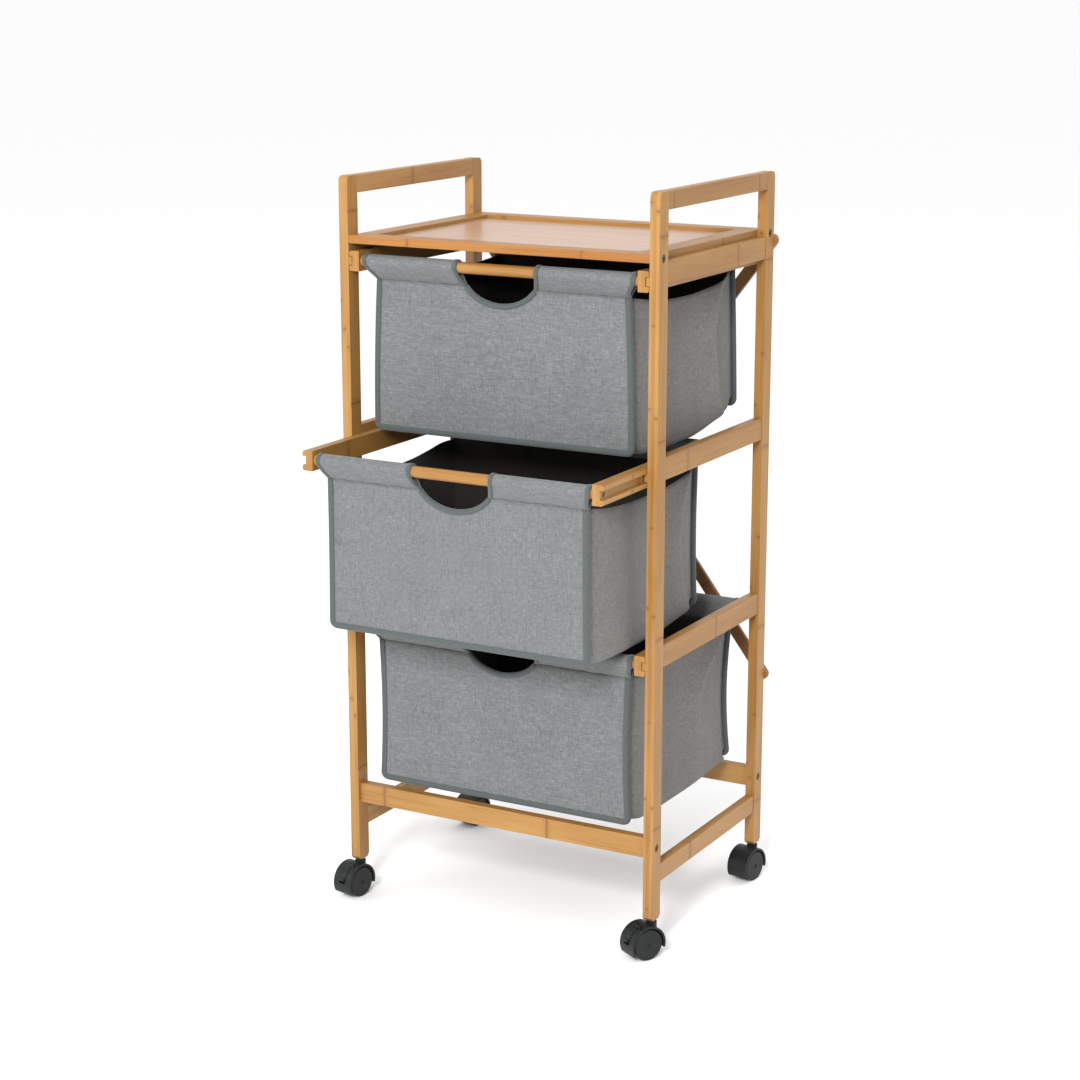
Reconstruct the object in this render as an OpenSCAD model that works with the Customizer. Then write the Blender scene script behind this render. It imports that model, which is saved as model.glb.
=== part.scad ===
// Rolling laundry sorter: an open bamboo frame on four twin-wheel casters,
// with a recessed top shelf and three pull-out fabric baskets.
// Millimetres, +Z up, the front faces -Y, and the origin is on the floor
// under the middle of the bounding box.

/* [Frame] */
// Width over the posts
frame_w = 440; // [380:5:520]
// Depth over the posts
frame_d = 324; // [300:2:400]
// Height of a post
post_h = 890; // [880:5:1000]
// Width of a post, seen from the front
post_w = 13; // [13:1:20]
// Depth of a post, seen from the side
post_d = 22; // [20:1:30]
// Height of the handle rails
handle_h = 22; // [16:1:30]

/* [Rails] */
// Height of a drawer level's side rail
side_rail_h = 28; // [24:1:32]
// Thickness of the side rails and stretchers
rail_t = 12; // [10:1:13]
// Underside of the lowest drawer level's side rails, above the post bottom
level_z = 319; // [316:1:330]
// Rise from one drawer level to the next
level_rise = 231; // [229:1:233]
// Underside of the low side rails, above the post bottom
low_rail_z = 45; // [30:1:50]
// Height of the low side rails
low_rail_h = 24; // [18:1:26]
// Underside of the front and rear stretchers, above the post bottom
stretcher_z = 80; // [76:1:81]
// Height of the stretchers
stretcher_h = 26; // [20:1:26]

/* [Shelf] */
// Top of the shelf's border, above the post bottom
shelf_z = 818; // [816:1:822]
// Thickness of the border
border_t = 10; // [9:1:10]
// Width of the border
border_w = 26; // [22:1:30]
// Depth of the panel below the border's top
recess = 5; // [2:0.5:5]

/* [Drawers] */
// How far the middle drawer stands open at rest
middle_open = 110; // [0:5:200]
// Diameter of the basket dowels
dowel_d = 14; // [12:0.5:16]
// Height of a drawer's grooved rail
drawer_rail_h = 25; // [22:1:26]
// Thickness of a drawer's grooved rail
drawer_rail_t = 14.3; // [12:0.1:14.5]
// Drop from the dowel's centre to the bottom of the basket
basket_drop = 211; // [150:1:212]
// Width of a basket
basket_w = 363; // [300:1:366]
// Width of the handle cutout
cutout_w = 108; // [80:2:140]
// Drop from the dowel's centre to the bottom of the cutout
cutout_drop = 42; // [35:1:60]

/* [Brace] */
// Width of a brace bar
brace_w = 16; // [12:1:22]
// Thickness of a brace bar
brace_t = 6; // [5:1:10]
// Upper screws of the brace, above the post bottom
brace_top_z = 798; // [760:1:800]
// Lower screws of the brace, above the post bottom
brace_low_z = 237; // [180:1:260]

/* [Casters] */
// Height of a caster under its post
caster_h = 48; // [48:1:60]
// Radius of a wheel
wheel_r = 20; // [18:0.5:20]
// Width of one wheel
wheel_w = 10; // [8:0.5:12]
// Distance from the swivel axis to the axle
caster_trail = 12; // [10:1:14]
// Turn of the front left caster
turn_front_left = -10; // [-40:1:0]
// Turn of the front right caster
turn_front_right = -30; // [-40:1:0]
// Turn of the rear left caster
turn_rear_left = -10; // [-40:1:0]
// Turn of the rear right caster
turn_rear_right = -10; // [-40:1:0]

/* [Hidden] */
$fn = 64;
over = 1;                           // how far a cut runs past a face

bamboo = "#d6a064";
bamboo_side = "#c8935a";
veneer = "#d7aa8c";
grey_fabric = "#8f9496";
black_plastic = "#2e3132";
steel = "#9a9da0";

LEVELS = ["bottom", "middle", "top"];
SIDES = ["left", "right"];

// Frame
half_w = frame_w / 2;
half_d = frame_d / 2;
inner_x = half_w - post_w;          // inner face of the posts
inner_y = half_d - post_d;          // between the posts, front to back
post_x = half_w - post_w / 2;
post_y = half_d - post_d / 2;
post_round = 7;                     // outer top corner of a post
post_chamfer = 4;                   // bottom edges of a post
bolt_r = 2.5;
bolt_head_r = 4.5;
bolt_head_t = 3;
bolt_sink = 3.5;                    // depth of the bolt head's recess
bolt_len = 40;
bolt_clear = 0.5;                   // play around a bolt's head
shelf_bolt_z = shelf_z - border_t / 2;
stretcher_bolt_z = stretcher_z + stretcher_h / 2;

// Shelf
border_back = 5;                    // rear border in front of the posts' backs
shelf_panel_t = 3.5;
tongue = 5;                         // panel's edge in the border's groove
tongue_t = 2;                       // thinner than the panel, so the border laps it
field_gap = 0.3;                    // between the panel's raised field and the border
panel_x = inner_x - border_w;       // inner edge of the side borders
panel_y0 = border_w - half_d;
panel_y1 = half_d - border_back - border_w;

// Drawer runners
strip_t = 4.5;
strip_h = 10.4;
rail_drop = 7;                      // drawer rail below its side rail
groove_h = strip_h + 0.8;
groove_depth = 4.6;
drawer_rail_x = inner_x - 0.7;      // outer face of a drawer rail
drawer_rail_y0 = -half_d;
drawer_rail_y1 = half_d - 3;
flange_round = 3;
dowel_inset = 9.5;
dowel_y = [drawer_rail_y0 + dowel_inset, drawer_rail_y1 - dowel_inset];
dowel_r = dowel_d / 2;
dowel_len = 2 * (drawer_rail_x - drawer_rail_t);
screw_r = 2;
screw_head_r = 3.6;
screw_head_t = 2.4;
screw_len = 24;

// Basket
cloth_t = 2.5;
panel_t = 3;
casing_r = dowel_r + 2;
casing_bore_r = dowel_r + 0.4;
casing_half = basket_w / 2 + 4.5;
panel_gap = 5.5;                    // dowel centre to the panel's outer face
seam_drop = 22;                     // dowel centre to the casing's seam
side_sag = 15;                      // dip of a side's top edge
seam_lap = 0.2;                     // overlap where panel and casing meet
corner_r = 12;                      // bottom corners of the basket
casing_from = 210;                  // where a casing leaves its dowel outside
casing_back = panel_gap + panel_t;
front_face_y = dowel_y[0] + panel_gap;
rear_face_y = dowel_y[1] - panel_gap;

// Brace
brace_run = 2 * post_x;
brace_rise = brace_top_z - brace_low_z;
brace_angle = atan2(brace_rise, brace_run);
brace_len = norm([brace_run, brace_rise]);
brace_tip = 6;                      // straight length past a screw
brace_screw_r = 2;
brace_head_r = 4;
brace_head_t = 2;
brace_screw_len = 20;

// Casters
axle_r = 2.5;
wheel_gap = 4;                      // middle plane to a wheel's inner face
wheel_play = 0.4;                   // between a wheel's faces and the hood
wheel_edge = 1.2;                   // bevel of a wheel's rim
axle_play = 0.08;
hub_r = 6.5;
axle_inset = 1.5;                   // axle's ends inside the hood's faces
hood_r = wheel_r + 4.3;
hood_bore_r = wheel_r + 1.5;
hood_half = wheel_gap + wheel_w + 0.5;
hood_from = -30;                    // lowest point of the hood at the front
hood_to = 195;                      // lowest point of the hood at the back
weld = 1;                           // overlap of the moulding's own parts
stem_r = 4;
stem_play = 0.1;
stem_depth = 34;
boss_r = 7;
boss_z = 36;                        // underside of the boss over the floor
boss_top = 45;
collar_r = 5.2;                     // collar between boss and post
collar_gap = 0.3;
lever_half = 5;
lever_play = 0.4;
lever_from = 12;
lever_pivot = 70;
lever_bore_r = hood_bore_r + 0.7;
lever_r = hood_r + 0.7;
pivot_radius = hood_r - 0.7;
pivot_pin_r = 1.1;
pivot_boss_r = 2.2;
pivot_pin_out = 2.5;                // pin past the lever's sides
slot_from = 4;                      // opening for the lever in the hood
slot_to = 79;
slot_r0 = wheel_r - 2;
slot_r1 = hood_r + 2.7;
toe_inset = 0.8;                    // raised toe inside the lever's sides
toe_rise = 2;
toe_from = 13;
toe_to = 20;
ear_w = 3;
web_half = 2.5;
CASTER_TURN = [turn_front_left, turn_front_right, turn_rear_left, turn_rear_right];

// The turned casters reach past the posts, so the frame is moved until the
// bounding box is centred on the origin.
function side_sign(side) = side == "left" ? -1 : 1;
function corner_x(i) = (i % 2 == 0 ? -1 : 1) * post_x;
function corner_y(i) = (i < 2 ? -1 : 1) * post_y;
function axle_x(i) = corner_x(i) + caster_trail * sin(CASTER_TURN[i]);
function caster_reach(i) =
    hood_half * cos(CASTER_TURN[i]) + hood_r * abs(sin(CASTER_TURN[i]));
x_low = min(axle_x(0) - caster_reach(0), axle_x(2) - caster_reach(2));
x_high = max(axle_x(1) + caster_reach(1), axle_x(3) + caster_reach(3));
y_low = drawer_rail_y0 - middle_open;
y_high = half_d + brace_t + brace_head_t;
shift = [-(x_low + x_high) / 2, -(y_low + y_high) / 2, caster_h];

function rail_z(level) = level_z + level * level_rise;
function dowel_z(level) = rail_z(level) - rail_drop + drawer_rail_h / 2;
function pull(level) = LEVELS[level] == "middle" ? middle_open : 0;

// ---- Helpers ----

// A block between two corners
module block(low, high) {
    translate(low) cube(high - low);
}

// A cylinder along X, from one end to the other
module rod_x(x0, x1, r) {
    translate([x0, 0, 0]) rotate([0, 90, 0]) cylinder(r = r, h = x1 - x0);
}

// Turns an outline drawn as (Y, Z) into a solid from x0 to x1
module along_x(x0, x1) {
    translate([x0, 0, 0]) rotate([90, 0, 90]) linear_extrude(x1 - x0) children();
}

// Turns an outline drawn as (X, Z) into a solid from y0 to y1
module along_y(y0, y1) {
    translate([0, y1, 0]) rotate([90, 0, 0]) linear_extrude(y1 - y0) children();
}

// ---- Frame ----

// Side outline of a post, with its outer face at y = 0 and z from 0 up
module post_outline() {
    difference() {
        square([post_d, post_h]);
        translate([0, post_h - post_round]) square(post_round);
        polygon([[0, 0], [post_chamfer, 0], [0, post_chamfer]]);
        polygon([[post_d, 0], [post_d - post_chamfer, 0], [post_d, post_chamfer]]);
    }
    translate([post_round, post_h - post_round]) circle(post_round);
}

// Recess, shank hole and screw hole of one bolt, along +X from x = 0 inwards
module bolt_hole() {
    rod_x(-over, bolt_sink, bolt_head_r + bolt_clear);
    rod_x(0, bolt_len + bolt_sink, bolt_r);
}

// Places its child on the outer faces, pointing inwards, at both bolt heights
module at_bolts(corner_list) {
    for (i = corner_list, z = [shelf_bolt_z, stretcher_bolt_z])
        translate([sign(corner_x(i)) * half_w, corner_y(i), z])
            mirror([corner_x(i) > 0 ? 1 : 0, 0, 0]) children();
}

// Places its child at the four brace screws, pointing forwards
module at_brace_screws() {
    for (x = [-post_x, post_x], z = [brace_top_z, brace_low_z])
        translate([x, half_d, z]) rotate([90, 0, 0]) children();
}

module post(i) {
    front = i < 2;
    x0 = corner_x(i) - post_w / 2;
    color(bamboo) difference() {
        translate([0, front ? -half_d : half_d, 0])
            mirror([0, front ? 0 : 1, 0])
                along_x(x0, x0 + post_w) post_outline();
        at_bolts([i]) bolt_hole();
        translate([corner_x(i), corner_y(i), -over])
            cylinder(r = stem_r + stem_play, h = stem_depth + 2 * over);
        if (!front) at_brace_screws() translate([0, 0, -over])
            cylinder(r = brace_screw_r, h = brace_screw_len + over);
    }
}

module handle_rail(side) {
    s = side_sign(side);
    color(bamboo_side)
        translate([s * post_x - post_w / 2, -inner_y, post_h - handle_h])
            cube([post_w, 2 * inner_y, handle_h]);
}

// A rail between the front and rear posts, inner face flush with theirs
module side_bar(side, z, h) {
    x0 = side == "left" ? -inner_x - rail_t : inner_x;
    color(bamboo_side)
        translate([x0, -inner_y, z]) cube([rail_t, 2 * inner_y, h]);
}

module side_rail(side, level) {
    side_bar(side, rail_z(level), side_rail_h);
}

// Three strips on which one side's drawer rails run
module runner_strips(side) {
    x0 = side == "left" ? -inner_x : inner_x - strip_t;
    color(bamboo)
        for (level = [0:2])
            translate([x0, -half_d, dowel_z(level) - strip_h / 2])
                cube([strip_t, frame_d, strip_h]);
}

module stretcher(front) {
    y0 = (front ? -post_y : post_y) - rail_t / 2;
    color(bamboo) difference() {
        translate([-inner_x, y0, stretcher_z])
            cube([2 * inner_x, rail_t, stretcher_h]);
        at_bolts(front ? [0, 1] : [2, 3]) bolt_hole();
    }
}

// ---- Shelf ----

// The panel, its edges in the border's groove
module shelf_panel() {
    top = shelf_z - recess;
    low = top - shelf_panel_t;
    color(veneer) union() {
        block([-panel_x - tongue, panel_y0 - tongue, low],
              [panel_x + tongue, panel_y1 + tongue, low + tongue_t]);
        block([field_gap - panel_x, panel_y0 + field_gap, low],
              [panel_x - field_gap, panel_y1 - field_gap, top]);
    }
}

// Front or rear piece of the border, bolted between two posts
module shelf_rail(front) {
    y0 = front ? -half_d : panel_y1;
    color(bamboo) difference() {
        translate([-inner_x, y0, shelf_z - border_t])
            cube([2 * inner_x, border_w, border_t]);
        shelf_panel();
        at_bolts(front ? [0, 1] : [2, 3]) bolt_hole();
    }
}

// Side piece of the border, beside the top side rail
module shelf_side(side) {
    x0 = side == "left" ? -inner_x : panel_x;
    color(bamboo_side) difference() {
        block([x0, panel_y0, shelf_z - border_t], [x0 + border_w, panel_y1, shelf_z]);
        shelf_panel();
    }
}

// ---- Brace ----

// One bar through both of its screws, centred on the brace's middle
module brace_bar() {
    reach = brace_len / 2 + brace_tip;
    module bar_outline() {
        square([2 * reach, brace_w], center = true);
        for (x = [-reach, reach]) translate([x, 0]) circle(brace_w / 2);
    }
    rotate([0, -brace_angle, 0]) along_y(0, brace_t) bar_outline();
}

// The bars are half-lapped where they cross
module brace(rising) {
    lap_half = brace_w;
    mid_z = (brace_top_z + brace_low_z) / 2;
    lap_y = rising ? brace_t / 2 : 0;
    color(bamboo) difference() {
        translate([0, half_d, mid_z]) difference() {
            mirror([rising ? 0 : 1, 0, 0]) brace_bar();
            intersection() {
                mirror([rising ? 1 : 0, 0, 0]) brace_bar();
                block([-lap_half, lap_y, -lap_half],
                      [lap_half, lap_y + brace_t / 2, lap_half]);
            }
        }
        at_brace_screws() translate([0, 0, -brace_t - over])
            cylinder(r = brace_screw_r, h = brace_t + 2 * over);
    }
}

// Bolts through the posts, and the brace's screws
module frame_screws() {
    color(steel) {
        at_bolts([0, 1, 2, 3]) {
            translate([bolt_sink - bolt_head_t, 0, 0]) rod_x(0, bolt_head_t, bolt_head_r);
            rod_x(bolt_sink, bolt_len, bolt_r);
        }
        at_brace_screws() {
            translate([0, 0, -brace_t - brace_head_t])
                cylinder(r = brace_head_r, h = brace_head_t);
            translate([0, 0, -brace_t])
                cylinder(r = brace_screw_r, h = brace_screw_len);
        }
    }
}

// ---- Drawers ----

// Moves its children to one drawer's dowel height and rest position
module in_drawer(level) {
    translate([0, -pull(level), dowel_z(level)]) children();
}

// Places its child on the dowels' axes at one rail's groove, pointing inwards
module at_drawer_screws(side) {
    for (y = dowel_y)
        translate([side_sign(side) * (drawer_rail_x - groove_depth), y, 0])
            mirror([side == "left" ? 0 : 1, 0, 0]) children();
}

// C-section of the right rail, drawn with its groove open towards +X
module rail_outline() {
    h = drawer_rail_h / 2;
    x1 = drawer_rail_x;
    x0 = x1 - drawer_rail_t;
    difference() {
        union() {
            translate([x0, -h]) square([drawer_rail_t - flange_round, drawer_rail_h]);
            translate([x0, flange_round - h])
                square([drawer_rail_t, drawer_rail_h - 2 * flange_round]);
            for (z = [flange_round - h, h - flange_round])
                translate([x1 - flange_round, z]) circle(flange_round);
        }
        translate([x1 - groove_depth, -groove_h / 2])
            square([groove_depth + over, groove_h]);
    }
}

module drawer_rail(level, side) {
    color(bamboo_side) in_drawer(level) difference() {
        mirror([side == "left" ? 1 : 0, 0, 0])
            along_y(drawer_rail_y0, drawer_rail_y1) rail_outline();
        at_drawer_screws(side) {
            rod_x(-over, screw_head_t, screw_head_r);
            rod_x(0, drawer_rail_t, screw_r);
        }
    }
}

module drawer_dowel(level, end) {
    color(bamboo) in_drawer(level) difference() {
        translate([0, dowel_y[end], 0]) rod_x(-dowel_len / 2, dowel_len / 2, dowel_r);
        for (side = SIDES) at_drawer_screws(side) rod_x(0, screw_len, screw_r);
    }
}

module drawer_screws(level) {
    color(steel) in_drawer(level)
        for (side = SIDES) at_drawer_screws(side) {
            rod_x(0, screw_head_t, screw_head_r);
            rod_x(screw_head_t, screw_len, screw_r);
        }
}

// Front outline of a basket, as (X, Z) with rounded bottom corners
module basket_outline(inset, top) {
    w = basket_w / 2 - inset;
    low = inset - basket_drop;
    r = corner_r - inset;
    translate([-w, low + r]) square([2 * w, top - low - r]);
    translate([r - w, low]) square([2 * (w - r), r]);
    for (x = [r - w, w - r]) translate([x, low + r]) circle(r);
}

// Half ellipse of the handle cutout, closed above the casing
module cutout_outline() {
    half = cutout_w / 2;
    arc = [for (a = [180:6:360]) [half * cos(a), cutout_drop * sin(a)]];
    polygon(concat([[-half, casing_r + over]], arc, [[half, casing_r + over]]));
}

// Sleeve around a dowel, pinched to the panel at the seam
module casing_outline() {
    r = casing_r - seam_lap;
    difference() {
        union() {
            circle(casing_r);
            polygon([[r * cos(casing_from), r * sin(casing_from)],
                     [panel_gap, -seam_drop], [casing_back, -seam_drop],
                     [casing_back, -dowel_r / 3]]);
        }
        circle(casing_bore_r);
    }
}

// A panel with its casing, its outer face towards -Y
module basket_end(cut) {
    difference() {
        union() {
            along_x(-casing_half, casing_half) casing_outline();
            along_y(panel_gap, casing_back)
                basket_outline(0, seam_lap - seam_drop);
        }
        if (cut) along_y(-casing_r - over, casing_r + over) cutout_outline();
    }
}

// Sides and bottom, with the sides' top edges dipping between the ends
module basket_body() {
    y0 = front_face_y + panel_t / 2;
    y1 = rear_face_y - panel_t / 2;
    mid = (y0 + y1) / 2;
    half = (y1 - y0) / 2;
    dip = [for (t = [-1:0.1:1])
        [mid + t * half, -seam_drop - side_sag * (1 - t * t)]];
    difference() {
        along_y(y0, y1) difference() {
            basket_outline(0, -seam_drop);
            basket_outline(cloth_t, over);
        }
        along_x(-basket_w, basket_w)
            polygon(concat([[y0, over]], dip, [[y1, over]]));
    }
}

module basket(level) {
    color(grey_fabric) in_drawer(level) {
        translate([0, dowel_y[0], 0]) basket_end(true);
        translate([0, dowel_y[1], 0]) mirror([0, 1, 0]) basket_end(false);
        basket_body();
    }
}

// ---- Casters ----

// Moves its children to a caster's swivel axis, turned as it stands
module at_caster(i) {
    translate([corner_x(i), corner_y(i), -caster_h]) rotate(CASTER_TURN[i]) children();
}

// Moves its children to the axle, with angles counted up from the front
module at_axle() {
    translate([0, -caster_trail, wheel_r]) children();
}

// A band around the axle, between two angles
module band(r0, r1, half, from, to) {
    rotate([90, 0, -90]) rotate(from) rotate_extrude(angle = to - from)
        translate([r0, -half]) square([r1 - r0, 2 * half]);
}

// Point on a circle around the axle, as a translation
function around(r, a) = [0, -r * cos(a), r * sin(a)];

module caster(i) {
    braked = i < 2;
    color(black_plastic) at_caster(i) {
        difference() {
            union() {
                at_axle() {
                    band(hood_bore_r, hood_r, hood_half, hood_from, hood_to);
                    band(axle_r, hood_bore_r + weld, web_half, hood_from, hood_to);
                    rod_x(-web_half, web_half, hub_r);
                    if (braked) translate(around(pivot_radius, lever_pivot))
                        rod_x(-lever_half - ear_w, lever_half + ear_w, pivot_boss_r);
                }
                translate([0, 0, boss_z]) cylinder(r = boss_r, h = boss_top - boss_z);
            }
            if (braked) at_axle() {
                band(slot_r0, slot_r1, lever_half + lever_play, slot_from, slot_to);
                translate(around(pivot_radius, lever_pivot))
                    rod_x(-2 * lever_half, 2 * lever_half, pivot_pin_r + stem_play);
            }
            at_axle() for (s = [-1, 1]) translate([s * (wheel_gap - wheel_play), 0, 0])
                mirror([s < 0 ? 1 : 0, 0, 0])
                    rod_x(0, wheel_w + 2 * wheel_play, wheel_r + wheel_play);
        }
        at_axle() rod_x(axle_inset - hood_half, hood_half - axle_inset, axle_r);
        translate([0, 0, boss_top - weld])
            cylinder(r = collar_r, h = caster_h - collar_gap - boss_top + weld);
        translate([0, 0, boss_top - weld])
            cylinder(r = stem_r, h = caster_h + stem_depth - boss_top + weld);
    }
}

// One wheel; its outline is (radius, distance from its inner face)
module wheel(i, outer) {
    left = i % 2 == 0;
    s = left == outer ? -1 : 1;
    color(black_plastic) at_caster(i) at_axle()
        mirror([s < 0 ? 1 : 0, 0, 0]) translate([wheel_gap, 0, 0]) rotate([0, 90, 0])
            rotate_extrude() polygon([
                [axle_r + axle_play, 0], [wheel_r - wheel_edge, 0],
                [wheel_r, wheel_edge], [wheel_r, wheel_w - wheel_edge],
                [wheel_r - wheel_edge, wheel_w], [axle_r + axle_play, wheel_w]]);
}

module brake_lever(i) {
    color(black_plastic) at_caster(i) at_axle() {
        band(lever_bore_r, lever_r, lever_half, lever_from, lever_pivot);
        band(lever_bore_r, lever_r + toe_rise, lever_half - toe_inset, toe_from, toe_to);
        translate(around(pivot_radius, lever_pivot)) {
            rod_x(axle_play - lever_half, lever_half - axle_play, pivot_boss_r);
            rod_x(-lever_half - pivot_pin_out, lever_half + pivot_pin_out, pivot_pin_r);
        }
    }
}

// ---- Assembly ----

// Moves the frame's own centre line to the part's origin
module place() {
    translate(shift) children();
}

place() post(0);  // post_front_left
place() post(1);  // post_front_right
place() post(2);  // post_rear_left
place() post(3);  // post_rear_right
place() handle_rail("left");  // handle_rail_left
place() handle_rail("right");  // handle_rail_right
place() side_rail("left", 0);  // side_rail_left_bottom
place() side_rail("left", 1);  // side_rail_left_middle
place() side_rail("left", 2);  // side_rail_left_top
place() side_rail("right", 0);  // side_rail_right_bottom
place() side_rail("right", 1);  // side_rail_right_middle
place() side_rail("right", 2);  // side_rail_right_top
place() runner_strips("left");  // runner_strips_left
place() runner_strips("right");  // runner_strips_right
place() side_bar("left", low_rail_z, low_rail_h);  // low_rail_left
place() side_bar("right", low_rail_z, low_rail_h);  // low_rail_right
place() stretcher(true);  // stretcher_front
place() stretcher(false);  // stretcher_rear
place() shelf_panel();
place() shelf_rail(true);  // shelf_rail_front
place() shelf_rail(false);  // shelf_rail_rear
place() shelf_side("left");  // shelf_side_left
place() shelf_side("right");  // shelf_side_right
place() brace(true);  // brace_rising
place() brace(false);  // brace_falling
place() frame_screws();
place() drawer_rail(0, "left");  // bottom_rail_left
place() drawer_rail(0, "right");  // bottom_rail_right
place() drawer_dowel(0, 0);  // bottom_dowel_front
place() drawer_dowel(0, 1);  // bottom_dowel_rear
place() basket(0);  // bottom_basket
place() drawer_screws(0);  // bottom_screws
place() drawer_rail(1, "left");  // middle_rail_left
place() drawer_rail(1, "right");  // middle_rail_right
place() drawer_dowel(1, 0);  // middle_dowel_front
place() drawer_dowel(1, 1);  // middle_dowel_rear
place() basket(1);  // middle_basket
place() drawer_screws(1);  // middle_screws
place() drawer_rail(2, "left");  // top_rail_left
place() drawer_rail(2, "right");  // top_rail_right
place() drawer_dowel(2, 0);  // top_dowel_front
place() drawer_dowel(2, 1);  // top_dowel_rear
place() basket(2);  // top_basket
place() drawer_screws(2);  // top_screws
place() caster(0);  // caster_front_left
place() caster(1);  // caster_front_right
place() caster(2);  // caster_rear_left
place() caster(3);  // caster_rear_right
place() wheel(0, true);  // wheel_front_left_outer
place() wheel(0, false);  // wheel_front_left_inner
place() wheel(1, true);  // wheel_front_right_outer
place() wheel(1, false);  // wheel_front_right_inner
place() wheel(2, true);  // wheel_rear_left_outer
place() wheel(2, false);  // wheel_rear_left_inner
place() wheel(3, true);  // wheel_rear_right_outer
place() wheel(3, false);  // wheel_rear_right_inner
place() brake_lever(0);  // brake_lever_left
place() brake_lever(1);  // brake_lever_right
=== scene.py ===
"""Looks of a rolling laundry sorter: bamboo frame, hung fabric baskets and twin-wheel casters.

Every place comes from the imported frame. Lengths are in metres, +Z is up and
the front of the sorter faces -Y.
"""

import logging
import math
from dataclasses import dataclass, field
from enum import Enum
from typing import Callable, Iterable, Sequence

import bmesh
import bpy
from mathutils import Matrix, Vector


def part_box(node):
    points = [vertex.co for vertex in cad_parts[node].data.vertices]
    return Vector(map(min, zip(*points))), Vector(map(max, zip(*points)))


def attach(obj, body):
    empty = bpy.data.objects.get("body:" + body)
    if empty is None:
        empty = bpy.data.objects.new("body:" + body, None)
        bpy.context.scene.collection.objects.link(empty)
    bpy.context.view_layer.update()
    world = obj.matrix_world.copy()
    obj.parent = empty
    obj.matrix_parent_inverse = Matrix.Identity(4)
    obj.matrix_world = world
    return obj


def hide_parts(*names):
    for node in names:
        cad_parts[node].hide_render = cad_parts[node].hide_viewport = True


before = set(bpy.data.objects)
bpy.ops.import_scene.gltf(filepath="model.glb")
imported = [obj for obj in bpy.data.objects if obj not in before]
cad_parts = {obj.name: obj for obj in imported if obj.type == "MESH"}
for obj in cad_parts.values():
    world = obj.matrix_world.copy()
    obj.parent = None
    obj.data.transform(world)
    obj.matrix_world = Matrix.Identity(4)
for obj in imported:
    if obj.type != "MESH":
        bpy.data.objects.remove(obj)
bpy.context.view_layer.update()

log = logging.getLogger("laundry_sorter")

Point = tuple[float, float, float]
Colour = tuple[float, float, float]
MM = 0.001


class Level(Enum):
    """Drawer levels, by the prefix of their nodes."""

    BOTTOM = "bottom"
    MIDDLE = "middle"
    TOP = "top"


class Side(Enum):
    """Left and right, as the sign of X."""

    LEFT = -1
    RIGHT = 1


class Grain(Enum):
    """Direction of a bamboo piece's fibres: along an axis, or along a bar of the brace."""

    ACROSS = "x"
    DEEP = "y"
    UPRIGHT = "z"
    RISING = "rising"
    FALLING = "falling"


# ---------------------------------------------------------------- shader help


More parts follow.
